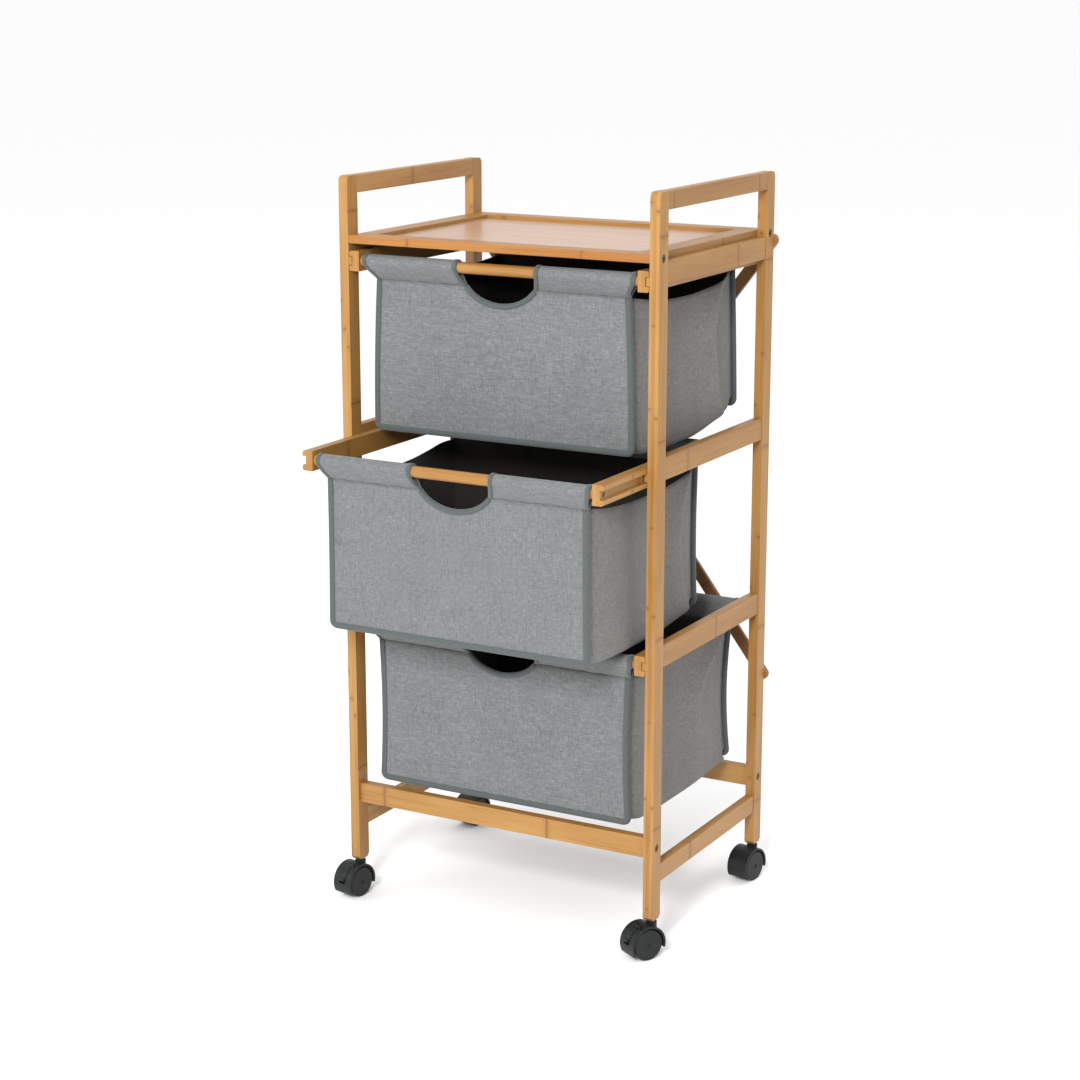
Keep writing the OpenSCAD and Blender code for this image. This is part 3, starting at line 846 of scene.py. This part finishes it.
@dataclass
class HungBasket:
    """A fabric basket hung on a front and a rear dowel, in one drawer.

    Its sections are drawn as (y, z) or (x, z) offsets from a dowel's centre.
    Depth runs from 0 at the front panel to 1 at the rear one, and fall from 0
    at the seam to 1 at the bottom.
    """

    palette: Palette
    level: Level
    cloth_t: float = 1.4 * MM
    panel_t: float = 3.0 * MM
    panel_gap: float = 5.5 * MM
    sleeve_out: float = 1.5 * MM
    seam_drop: float = 22.0 * MM
    corner_r: float = 10.0 * MM
    flange: float = 7.0 * MM
    cutout_half: float = 54.0 * MM
    cutout_drop: float = 42.0 * MM
    tape_w: float = 7.5 * MM
    cut_tape_w: float = 5.4 * MM
    tape_t: float = 0.8 * MM
    stitch_gap: float = 3.6 * MM
    slack_rows: int = 9

    def __post_init__(self) -> None:
        """Reads the basket's sizes from the frame."""
        name = self.level.value
        lo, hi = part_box(f"{name}_basket")
        front_lo, front_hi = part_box(f"{name}_dowel_front")
        rear_lo, rear_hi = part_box(f"{name}_dowel_rear")
        self.hang = HANGS[self.level]
        self.body = f"drawer_{name}"
        self.mid_x = (lo.x + hi.x) / 2
        self.front_y = (front_lo.y + front_hi.y) / 2
        self.rear_y = (rear_lo.y + rear_hi.y) / 2
        self.axis_z = (front_lo.z + front_hi.z) / 2
        self.dowel_r = (front_hi.z - front_lo.z) / 2
        self.sleeve_half = (hi.x - lo.x) / 2 + self.sleeve_out
        self.half = (hi.x - lo.x) / 2 - 4.5 * MM
        self.drop = self.axis_z - lo.z
        self.face_y = self.front_y + self.panel_gap
        self.back_y = self.rear_y - self.panel_gap

    def _place(self, x: float, y: float, z: float) -> Vector:
        """Turns an offset from the basket's middle and the dowels' height into a place."""
        return Vector((self.mid_x + x, y, self.axis_z + z))

    def _keep(self, piece: bpy.types.Object) -> bpy.types.Object:
        """Hangs a piece on the drawer and notes it."""
        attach(piece, self.body)
        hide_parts(f"{self.level.value}_basket")
        log.info("%s: %d faces", piece.name, len(piece.data.polygons))
        return piece

    def _edge(self, fall: float) -> float:
        """Half the width of an end panel."""
        fall = min(1.0, max(0.0, fall))
        return (self.half - self.hang.seam_pull * (1 - fall) ** 2
                - self.hang.waist * math.sin(math.pi * fall))

    def _fall(self, z: float) -> float:
        """Share of the way from the seam to the bottom at a height."""
        return (-z - self.seam_drop) / (self.drop - self.seam_drop)

    def _end(self, rear: bool) -> tuple[float, float]:
        """Y of an end panel's outer face, and the direction along Y from it into the basket."""
        return (self.back_y, -1.0) if rear else (self.face_y, 1.0)

    # -- the sling: sides and bottom

    def _side_swell(self, depth: float, fall: float) -> float:
        """How far a side stands out from its panels' edges."""
        hang = self.hang
        arch = math.sin(math.pi * depth) ** 0.7
        belly = math.sin(math.pi * (0.10 + 0.72 * fall)) ** 1.3
        out = hang.swell * arch * (0.35 + 0.65 * fall) * (0.5 + 0.5 * belly)
        out -= hang.wave * math.exp(-((depth - 0.47) / 0.10) ** 2) * belly
        out += 0.6 * MM * math.sin(15.0 * depth + 3.0 * fall) * arch * belly
        out += 0.35 * MM * math.sin(34.0 * depth - 9.0 * fall + 1.0) * arch * belly
        line = 1 - hang.ridge_reach * max(0.0, math.sin(math.pi * fall)) ** hang.ridge_power
        rise = math.sin(math.pi * min(1.0, max(0.0, fall))) ** 0.4
        ahead = depth - line
        if ahead < 0:
            out += hang.ridge * rise * math.exp(ahead / 0.13)
        else:
            span = max(1e-6, 1 - line)
            slope = math.exp(-ahead / (0.22 * span)) - math.exp(-1 / 0.22)
            out += hang.ridge * rise * (1.35 * slope - 0.35 * (1 - ahead / span))
        return out

    def _inset(self, depth: float) -> float:
        """How far the sling lies inside the bound edges, which stand out as flanges."""
        front = 1 - smooth(depth / 0.13)
        rear = smooth((depth - 0.90) / 0.10)
        return (self.flange - 1.0 * MM) * max(front, rear)

    def _floor(self, depth: float, across: float) -> float:
        """Height of the bottom; across is 0 in the middle and 1 at the sides."""
        arch = math.sin(math.pi * depth) ** 0.6
        low = -self.drop + self._inset(depth) + self.hang.rear_lift * smooth((depth - 0.5) / 0.5)
        low -= self.hang.floor_sag * arch * (1 - 0.30 * across * across) * (1 - 0.25 * depth)
        return max(low + 0.8 * MM * math.sin(7.0 * across + 5.0 * depth) * arch,
                   -self.drop - 6.0 * MM)

    def _sling_row(self, depth: float) -> list[Vector]:
        """One U-shaped section from the right top edge to the left one."""
        start = self.face_y + self.panel_t / 2
        span = self.back_y - self.panel_t / 2 - start
        sway = 2 * depth - 1
        top = -self.seam_drop - self.hang.side_sag * (1 - sway * sway)
        low = self._floor(depth, 1.0)
        turn_z = low + self.corner_r
        side_steps, turn_steps, floor_steps = 30, 6, 36
        reaches: list[tuple[float, float]] = []
        for i in range(side_steps):
            z = top + (turn_z - top) * i / side_steps
            fall = self._fall(z)
            reaches.append((self._edge(fall) - self._inset(depth)
                            + self._side_swell(depth, fall), z))
        base = self._edge(1.0) - self._inset(depth)
        foot = self._side_swell(depth, min(1.0, self._fall(turn_z)))
        for i in range(turn_steps):
            angle = math.pi / 2 * i / turn_steps
            reaches.append((base - self.corner_r + self.corner_r * math.cos(angle)
                            + foot * (1 - i / turn_steps),
                            turn_z - self.corner_r * math.sin(angle)))
        flat = base - self.corner_r
        bottom = []
        for i in range(floor_steps + 1):
            across = 1 - 2 * i / floor_steps
            bottom.append((across * flat, self._floor(depth, abs(across))))
        outline = reaches + bottom + [(-x, z) for x, z in reversed(reaches)]
        row = []
        for x, z in outline:
            bow = self.hang.rear_bow * math.sin(math.pi * min(1.0, max(0.0, self._fall(z))))
            row.append(self._place(x, start + span * depth - bow * depth ** 4, z))
        return row

    def _sling(self) -> None:
        """Builds the sides and bottom from one hung sheet."""
        draft = MeshDraft()
        steps = 84
        draft.grid([self._sling_row(i / steps) for i in range(steps + 1)])
        # The sling's inner face takes the near-black painted shade of the basket's inside.
        piece = draft.build(f"{self.level.value}_basket_sling",
                            [self.palette.side_cloth, self.palette.inside_shade])
        self._face_out(piece, self._place(0, (self.face_y + self.back_y) / 2, -self.drop / 2))
        thicken(piece, self.cloth_t, -1.0, inner_slot=1)
        self._keep(piece)

    def _face_out(self, piece: bpy.types.Object, centre: Vector) -> None:
        """Turns a sheet's normals away from a point inside it."""
        mesh = piece.data
        score = sum((face.center - centre).dot(face.normal) * face.area for face in mesh.polygons)
        if score < 0:
            mesh.flip_normals()

    # -- the end panels

    def _low(self, rear: bool) -> float:
        """Height of a panel's bottom edge."""
        return -self.drop + (self.hang.rear_lift if rear else 0.0)

    def _low_edge(self, x: float, rear: bool) -> float:
        """Height of a panel's bottom edge at x, with its rounded corners."""
        low = self._low(rear)
        over = abs(x) - (self.half - self.corner_r)
        if over <= 0:
            return low
        return low + self.corner_r - math.sqrt(max(0.0, self.corner_r ** 2 - over ** 2))

    def _cut_edge(self, x: float) -> float:
        """Height of the handle cutout's edge at x, no higher than the seam."""
        share = abs(x) / self.cutout_half
        if share >= 1:
            return -self.seam_drop
        return min(-self.seam_drop, -self.cutout_drop * math.sqrt(1 - share * share))

    def _columns(self, cut: bool) -> list[float]:
        """X places of a panel's columns, closer together where its outline curves."""
        flat = self.half - self.corner_r
        corner = [flat + self.corner_r * math.sin(math.pi / 2 * i / 9) for i in range(1, 10)]
        plain = 40
        middle = [flat * i / plain for i in range(plain + 1)]
        if cut:
            meet = self.cutout_half * math.sqrt(1 - (self.seam_drop / self.cutout_drop) ** 2)
            middle = [x for x in middle if abs(x - meet) > 1.5 * MM] + [meet]
            middle.sort()
        half = middle + corner
        return [-x for x in reversed(half[1:])] + half

    def _face(self, x: float, z: float, rear: bool) -> float:
        """How far a panel's outer face lies inside its flat plane, towards the basket's middle."""
        fall = min(1.0, max(0.0, self._fall(z)))
        if rear:
            return self.hang.rear_bow * math.sin(math.pi * fall)
        pillow = math.cos(math.pi / 2 * min(1.0, abs(x) / self.half)) ** 0.5
        crown = 1.1 * MM * pillow * math.sin(math.pi * fall)
        ripple = 0.35 * MM * math.sin(31 * x / self.half + 2.0) * math.exp(-(fall / 0.2) ** 2)
        return -crown - ripple

    def _panel(self, rear: bool) -> None:
        """Builds one stiffened end panel from the seam down; the front one has the cutout."""
        end = "rear" if rear else "front"
        face_y, inward = self._end(rear)
        draft = MeshDraft()
        rows = 30
        grid = []
        for i in range(rows + 1):
            row = []
            for x in self._columns(not rear):
                low = self._low_edge(x, rear)
                top = -self.seam_drop if rear else self._cut_edge(x)
                z = top + (low - top) * i / rows
                x_bound = x * self._edge(self._fall(z)) / self.half
                row.append(self._place(x_bound, face_y + inward * self._face(x, z, rear), z))
            grid.append(row)
        draft.grid(grid)
        # The panel's inner face takes the near-black painted shade of the basket's inside.
        piece = draft.build(f"{self.level.value}_panel_{end}",
                            [self.palette.cloth, self.palette.inside_shade, self.palette.tape])
        self._face_out(piece, self._place(0, face_y + inward * 0.1, -self.drop / 2))
        thicken(piece, self.panel_t, -1.0, inner_slot=1, rim_slot=2)
        self._keep(piece)

    # -- the sleeves round the dowels

    def _sleeve_section(self, lift: float) -> list[tuple[float, float]]:
        """Outline of a sleeve, from its seam up the outer side, over the dowel and back down.

        Args:
            lift: offset outwards from the cloth's middle.

        Returns:
            (y, z) offsets, with -y outwards from the basket.
        """
        radius = self.dowel_r + 0.4 * MM + self.cloth_t / 2
        seam = (self.panel_gap + self.panel_t / 2, -self.seam_drop)
        reach = math.hypot(*seam)
        seam_angle = math.atan2(seam[1], seam[0])
        spread = math.acos(radius / reach)
        start, stop = seam_angle - spread + 2 * math.pi, seam_angle + spread
        line: list[tuple[float, float]] = []
        steps = self.slack_rows
        for i in range(steps):
            t = i / steps
            tangent = (radius * math.cos(start), radius * math.sin(start))
            y = seam[0] + (tangent[0] - seam[0]) * t
            z = seam[1] + (tangent[1] - seam[1]) * t
            belly = 1.7 * MM * math.sin(math.pi * t) ** 0.8
            line.append((y - 0.8 * belly, z - 0.3 * belly))
        turns = 26
        for i in range(turns + 1):
            angle = start + (stop - start) * i / turns
            line.append((radius * math.cos(angle), radius * math.sin(angle)))
        for i in range(1, steps + 1):
            t = i / steps
            tangent = (radius * math.cos(stop), radius * math.sin(stop))
            line.append((tangent[0] + (seam[0] - tangent[0]) * t,
                         tangent[1] + (seam[1] - tangent[1]) * t))
        if not lift:
            return line
        lifted = []
        for i, (y, z) in enumerate(line):
            before, after = line[max(0, i - 1)], line[min(len(line) - 1, i + 1)]
            run, rise = after[0] - before[0], after[1] - before[1]
            size = math.hypot(run, rise) or 1.0
            lifted.append((y - lift * rise / size, z + lift * run / size))
        return lifted

    def _outer_end(self, z: float) -> float:
        """X of a sleeve's outer end, which curves in to the panel's edge below the dowel."""
        flare = self.sleeve_half - self._edge(0.0)
        return self.sleeve_half - flare * smooth(-z / self.seam_drop)

    def _inner_end(self, z: float) -> float:
        """X of a sleeve's end at the handle cutout."""
        if z >= 0:
            return self.cutout_half
        share = min(1.0, -z / self.cutout_drop)
        return self.cutout_half * math.sqrt(1 - share * share)

    def _wrapped(self, name: str, axis_y: float, inward: float,
                 columns: Sequence[tuple[Callable[[float], float], float]],
                 thickness: float, finish: bpy.types.Material,
                 slack: float = 0.0) -> bpy.types.Object:
        """Builds a sheet wrapped round a dowel.

        Args:
            name: the piece's name.
            axis_y: the dowel's centre.
            inward: 1 when the basket's inside is towards +Y, else -1.
            columns: for each column, its x at a height and its lift off the cloth's middle.
            thickness: the sheet's thickness.
            finish: its outer material.
            slack: depth of the small gathers on the outer side.

        Returns:
            The wrapped sheet.
        """
        rows = []
        for i, (reach, lift) in enumerate(columns):
            t = i / (len(columns) - 1)
            row = []
            for j, ((y, z), (_, level_z)) in enumerate(zip(self._sleeve_section(lift),
                                                           self._sleeve_section(0.0))):
                x = reach(level_z)
                fold = 0.0
                if j < self.slack_rows:
                    fold = slack * math.sin(46 * x / self.half + j) * math.sin(math.pi * t)
                row.append(self._place(x, axis_y + inward * (y - fold), z))
            rows.append(row)
        draft = MeshDraft()
        draft.grid(rows)
        # The sleeve's inner face takes the near-black painted shade of the basket's inside.
        piece = draft.build(name, [finish, self.palette.inside_shade])
        middle_x = (columns[0][0](0.0) + columns[-1][0](0.0)) / 2
        self._face_out(piece, self._place(middle_x, axis_y, 0))
        thicken(piece, thickness, 0.0)
        return self._keep(piece)

    def _tape_ring(self, name: str, axis_y: float, inward: float,
                   edge: Callable[[float], float], into: float) -> None:
        """Binds a sleeve's end with tape folded over its edge.

        Args:
            name: the piece's name.
            axis_y: the dowel's centre.
            inward: 1 when the basket's inside is towards +Y, else -1.
            edge: the end's x at a height.
            into: direction along X from the edge onto the sleeve.
        """
        lift = self.cloth_t / 2 + self.tape_t / 2
        fold = [(self.cut_tape_w, lift), (self.cut_tape_w * 0.5, lift + 0.15 * MM),
                (0.5 * MM, lift), (-0.1 * MM, lift * 0.55), (-0.3 * MM, 0.0),
                (-0.1 * MM, -lift * 0.55), (0.6 * MM, -lift * 0.8), (3.4 * MM, -lift * 0.8)]
        columns = [(lambda z, d=d: edge(z) + into * d, h) for d, h in fold]
        ring = self._wrapped(name, axis_y, inward, columns, self.tape_t, self.palette.tape)

    def _sleeves(self) -> None:
        """Builds the front sleeve in two parts, the rear one in one, and their taped ends."""
        name = self.level.value
        for side in Side:
            s = side.value
            label = side.name.lower()

            def inner(z: float, s: int = s) -> float:
                """The end at the cutout."""
                return s * self._inner_end(z)

            def outer(z: float, s: int = s) -> float:
                """The end near the drawer's rail."""
                return s * self._outer_end(z)

            steps = 44
            columns = [(lambda z, t=i / steps, a=inner, b=outer: a(z) + (b(z) - a(z)) * t, 0.0)
                       for i in range(steps + 1)]
            sleeve = self._wrapped(f"{name}_sleeve_front_{label}", self.front_y, 1.0, columns,
                                   self.cloth_t, self.palette.cloth, slack=0.5 * MM)
            self._tape_ring(f"{name}_tape_cutout_{label}", self.front_y, 1.0, inner, s)
            self._tape_ring(f"{name}_tape_end_front_{label}", self.front_y, 1.0, outer, -s)
            self._tape_ring(f"{name}_tape_end_rear_{label}", self.rear_y, -1.0, outer, -s)
        steps = 100
        columns = [(lambda z, t=i / steps: self._outer_end(z) * (2 * t - 1), 0.0)
                   for i in range(steps + 1)]
        sleeve = self._wrapped(f"{name}_sleeve_rear", self.rear_y, -1.0, columns, self.cloth_t,
                               self.palette.cloth, slack=0.5 * MM)

    # -- binding and thread

    def _panel_path(self, rear: bool) -> list[tuple[float, float]]:
        """A panel's bound edge as (x, z): down one side, along the bottom and up the other."""
        low, r = self._low(rear), self.corner_r
        side_steps, turn_steps, floor_steps = 30, 10, 40
        path = []
        for i in range(side_steps):
            z = -self.seam_drop + (low + r + self.seam_drop) * i / side_steps
            path.append((-self._edge(self._fall(z)), z))
        w = self._edge(self._fall(low + r))
        for i in range(turn_steps):
            angle = math.pi / 2 * i / turn_steps
            path.append((-w + r - r * math.cos(angle), low + r - r * math.sin(angle)))
        path += [(-w + r + 2 * (w - r) * i / floor_steps, low) for i in range(floor_steps + 1)]
        return path + [(-x, z) for x, z in reversed(path[:side_steps + turn_steps])]

    def _cutout_path(self) -> list[tuple[float, float]]:
        """The cutout's edge below the seam as (x, z), left to right."""
        skip = math.asin(self.seam_drop / self.cutout_drop)
        steps = 40
        angles = [math.pi + skip + (math.pi - 2 * skip) * i / steps for i in range(steps + 1)]
        return [(self.cutout_half * math.cos(a), self.cutout_drop * math.sin(a)) for a in angles]

    def _inwards(self, path: Sequence[tuple[float, float]], inside: Vector) -> list[Vector]:
        """Unit directions square to an edge, towards a point (x, 0, z) inside it."""
        found = []
        for i, (x, z) in enumerate(path):
            before, after = path[max(0, i - 1)], path[min(len(path) - 1, i + 1)]
            run = Vector((after[0] - before[0], 0, after[1] - before[1])).normalized()
            into = Vector((-run.z, 0, run.x))
            found.append(into if into.dot(inside - Vector((x, 0, z))) > 0 else -into)
        return found

    def _swept(self, name: str, path: Sequence[tuple[float, float]],
               profile: Sequence[tuple[float, float]], inside: Vector, rear: bool) -> None:
        """Sweeps a tape's profile along an edge of a panel.

        Args:
            name: the piece's name.
            path: the edge as (x, z).
            profile: (into the cloth, back from the panel's outer face) pairs.
            inside: a point towards which the tape lies, as (x, 0, z).
            rear: True on the rear panel.
        """
        face_y, inward = self._end(rear)
        rows = []
        for (x, z), into in zip(path, self._inwards(path, inside)):
            lie = self._face(x, z, rear)
            rows.append([self._place(x + into.x * d, face_y + inward * (lie + back),
                                     z + into.z * d) for d, back in profile])
        draft = MeshDraft()
        draft.grid(rows)
        piece = draft.build(name, [self.palette.tape])
        thicken(piece, self.tape_t, 0.0)
        self._keep(piece)

    def _tapes(self) -> None:
        """Binds both panels' seams, which stand out as flanges, and the cutout."""
        name = self.level.value
        lap = self.tape_t / 2
        back = self.panel_t + lap
        flange = [(self.tape_w, -lap - 0.3 * MM), (self.tape_w * 0.85, -lap - 0.6 * MM),
                  (self.tape_w * 0.4, -lap - 0.75 * MM), (0.8 * MM, -lap - 0.45 * MM),
                  (0.0, 0.5 * MM), (-0.25 * MM, self.panel_t / 2), (0.0, self.panel_t - 0.4 * MM),
                  (0.8 * MM, back + 0.3 * MM), (self.flange - 1.5 * MM, back + 0.4 * MM)]
        centre = Vector((0, 0, -self.drop / 2))
        self._swept(f"{name}_tape_front", self._panel_path(False), flange, centre, False)
        self._swept(f"{name}_tape_rear", self._panel_path(True), flange, centre, True)
        width = self.cut_tape_w
        wrap = [(width, -lap - 0.9 * MM), (width * 0.5, -lap - 0.9 * MM),
                (0.5 * MM, -lap - 0.6 * MM), (-lap, 0.4 * MM), (-lap, self.panel_t - 0.4 * MM),
                (0.5 * MM, back), (width, back)]
        below = Vector((0, 0, -self.drop))
        self._swept(f"{name}_tape_cutout_edge", self._cutout_path(), wrap, below, False)

    def _stitch(self, draft: MeshDraft, start: Vector, end: Vector, out: Vector) -> None:
        """Adds one stitch as a slim spindle between two points."""
        run = (end - start).normalized()
        side = run.cross(out).normalized()
        thick = 0.28 * MM
        middle = (start + end) / 2
        ring = [middle + side * thick, middle + out * thick, middle - side * thick,
                middle - out * thick]
        base = len(draft.points)
        draft.points.extend([start - out * thick, *ring, end - out * thick])
        for i in range(4):
            j = (i + 1) % 4
            draft.faces.append((base, base + 1 + i, base + 1 + j))
            draft.faces.append((base + 5, base + 1 + j, base + 1 + i))

    def _seam(self, draft: MeshDraft, points: Sequence[Vector], out: Vector) -> None:
        """Adds evenly spaced stitches along a run of points.

        Args:
            draft: the thread's mesh.
            points: places along the seam.
            out: direction away from the cloth.
        """
        walked, due = 0.0, 0.0
        for first, second in zip(points, points[1:]):
            step = (second - first).length
            while due + self.stitch_gap * 0.65 <= walked + step:
                a = first.lerp(second, (due - walked) / step)
                b = first.lerp(second, (due + self.stitch_gap * 0.65 - walked) / step)
                self._stitch(draft, a, b, out)
                due += self.stitch_gap
            walked += step

    def _sewn_line(self, path: Sequence[tuple[float, float]], inside: Vector,
                   rear: bool, width: float) -> list[Vector]:
        """A panel's line of stitches, along the inner side of a tape of some width."""
        face_y, inward = self._end(rear)
        depth = width - 1.4 * MM
        proud = self.tape_t + 0.5 * MM
        return [self._place(x + into.x * depth, face_y + inward * (self._face(x, z, rear) - proud),
                            z + into.z * depth)
                for (x, z), into in zip(path, self._inwards(path, inside))]

    def _thread(self) -> None:
        """Sews the tapes and the sleeves' seams."""
        draft = MeshDraft()
        centre = Vector((0, 0, -self.drop / 2))
        below = Vector((0, 0, -self.drop))
        seam_z = -self.seam_drop - 1.2 * MM
        for rear in (False, True):
            face_y, inward = self._end(rear)
            out = Vector((0, -inward, 0))
            self._seam(draft, self._sewn_line(self._panel_path(rear), centre, rear,
                                              self.tape_w), out)
            y = face_y - inward * 0.6 * MM
            meet = 0.0 if rear else self.cutout_half + 3 * MM
            for s in (-1, 1):
                ends = [self._place(s * meet, y, seam_z),
                        self._place(s * (self._edge(0.0) - self.tape_w), y, seam_z)]
                self._seam(draft, ends, out)
        self._seam(draft, self._sewn_line(self._cutout_path(), below, False, self.cut_tape_w),
                   Vector((0, -1, 0)))
        self._keep(draft.build(f"{self.level.value}_stitching", [self.palette.thread]))

    def build(self) -> None:
        """Builds every piece of the basket."""
        self._sling()
        self._panel(rear=False)
        self._panel(rear=True)
        self._sleeves()
        self._tapes()
        self._thread()


@dataclass
class RunnerDrawer:
    """One drawer's grooved rails, dowels, screws and basket."""

    palette: Palette
    level: Level
    rail_ease: float = 1.0 * MM
    dowel_ease: float = 0.6 * MM

    def build(self) -> None:
        """Builds the woodwork, then hangs the basket."""
        name = self.level.value
        body = f"drawer_{name}"
        for side in ("left", "right"):
            eased_copy(f"{name}_rail_{side}", self.palette.wood[Grain.DEEP], body, self.rail_ease)
        for end in ("front", "rear"):
            eased_copy(f"{name}_dowel_{end}", self.palette.wood[Grain.ACROSS], body,
                       self.dowel_ease, segments=2)
        eased_copy(f"{name}_screws", self.palette.bronze, body, 0.3 * MM, segments=2)
        HungBasket(self.palette, self.level).build()


# ---------------------------------------------------------------- the casters


@dataclass
class TwinWheelCaster:
    """A hooded caster with two wheels, and a brake lever at the front."""

    palette: Palette
    corner: str
    brake: str | None = None
    ease: float = 0.6 * MM

    def build(self) -> None:
        """Builds the hood, wheels and lever."""
        eased_copy(f"caster_{self.corner}", self.palette.nylon, f"caster_{self.corner}", self.ease,
                   segments=2)
        for which in ("outer", "inner"):
            node = f"wheel_{self.corner}_{which}"
            eased_copy(node, self.palette.nylon, node, self.ease, segments=2)
        if self.brake:
            node = f"brake_lever_{self.brake}"
            eased_copy(node, self.palette.nylon, node, 0.4 * MM, segments=2)


# ------------------------------------------------------------------ the studio


@dataclass
class Studio:
    """Floor, soft lights and the camera."""

    floor_size: float = 500.0
    floor_tone: float = 0.95
    sky_strength: float = 1.02
    camera_place: Point = (1.432, -2.567, 1.198)
    camera_turn: float = math.radians(29.12)
    camera_tilt: float = math.radians(-13.71)
    lens: float = 79.65
    sensor: float = 36.0

    def camera(self) -> None:
        """Places the camera to the front right, a little above the sorter."""
        data = bpy.data.cameras.new("studio_camera")
        data.lens = self.lens
        data.sensor_width = self.sensor
        made = bpy.data.objects.new("studio_camera", data)
        made.location = self.camera_place
        made.rotation_euler = (math.pi / 2 + self.camera_tilt, 0, self.camera_turn)
        bpy.context.scene.collection.objects.link(made)
        bpy.context.scene.camera = made
        log.info("camera: lens %.1f mm", self.lens)

    def _area(self, name: str, place: Point, aim: Point, size: float, watts: float) -> None:
        """Adds a square soft light aimed at a point."""
        data = bpy.data.lights.new(name, "AREA")
        data.size = size
        data.energy = watts
        made = bpy.data.objects.new(name, data)
        made.location = place
        made.rotation_euler = (Vector(aim) - Vector(place)).to_track_quat("-Z", "Y").to_euler()
        bpy.context.scene.collection.objects.link(made)

    def lights(self) -> None:
        """Adds a key from the front right, a fill from the left, a top light and the sky."""
        self._area("key_light", (1.1, -3.6, 2.3), (0, 0, 0.5), 0.9, 160)
        self._area("fill_light", (-2.4, -2.6, 1.7), (0, 0, 0.5), 1.4, 22)
        self._area("top_light", (0.3, 0.2, 3.2), (0, 0, 0.5), 2.4, 16)
        world = bpy.data.worlds.new("studio_sky")
        world.use_nodes = True
        sky = world.node_tree.nodes["Background"]
        sky.inputs["Color"].default_value = (1.0, 1.0, 1.0, 1.0)
        sky.inputs["Strength"].default_value = self.sky_strength
        bpy.context.scene.world = world
        bpy.context.scene.view_settings.view_transform = "Standard"
        log.info("lights: three soft boxes and a pale sky")

    def floor(self) -> None:
        """Lays the pale floor."""
        half = self.floor_size / 2
        draft = MeshDraft()
        draft.grid([[Vector((-half, -half, 0)), Vector((half, -half, 0))],
                    [Vector((-half, half, 0)), Vector((half, half, 0))]])
        shader = Shader("studio_floor")
        shader.dress({"Base Color": (*(self.floor_tone,) * 3, 1.0), "Roughness": 0.9})
        made = draft.build("studio_floor", [shader.material], smooth=False)

    def build(self) -> None:
        """Builds the whole studio, camera first."""
        self.camera()
        self.lights()
        self.floor()


def main() -> None:
    """Builds the studio, then each sub-assembly."""
    logging.basicConfig(level=logging.INFO, format="%(name)s: %(message)s")
    Studio().build()
    palette = Palette().build()
    BambooFrame(palette).build()
    TrayShelf(palette).build()
    CrossBrace(palette).build()
    FrameFasteners(palette).build()
    for level in Level:
        RunnerDrawer(palette, level).build()
    brakes = {"front_left": "left", "front_right": "right"}
    for corner in ("front_left", "front_right", "rear_left", "rear_right"):
        TwinWheelCaster(palette, corner, brakes.get(corner)).build()


if __name__ == "__main__":
    main()
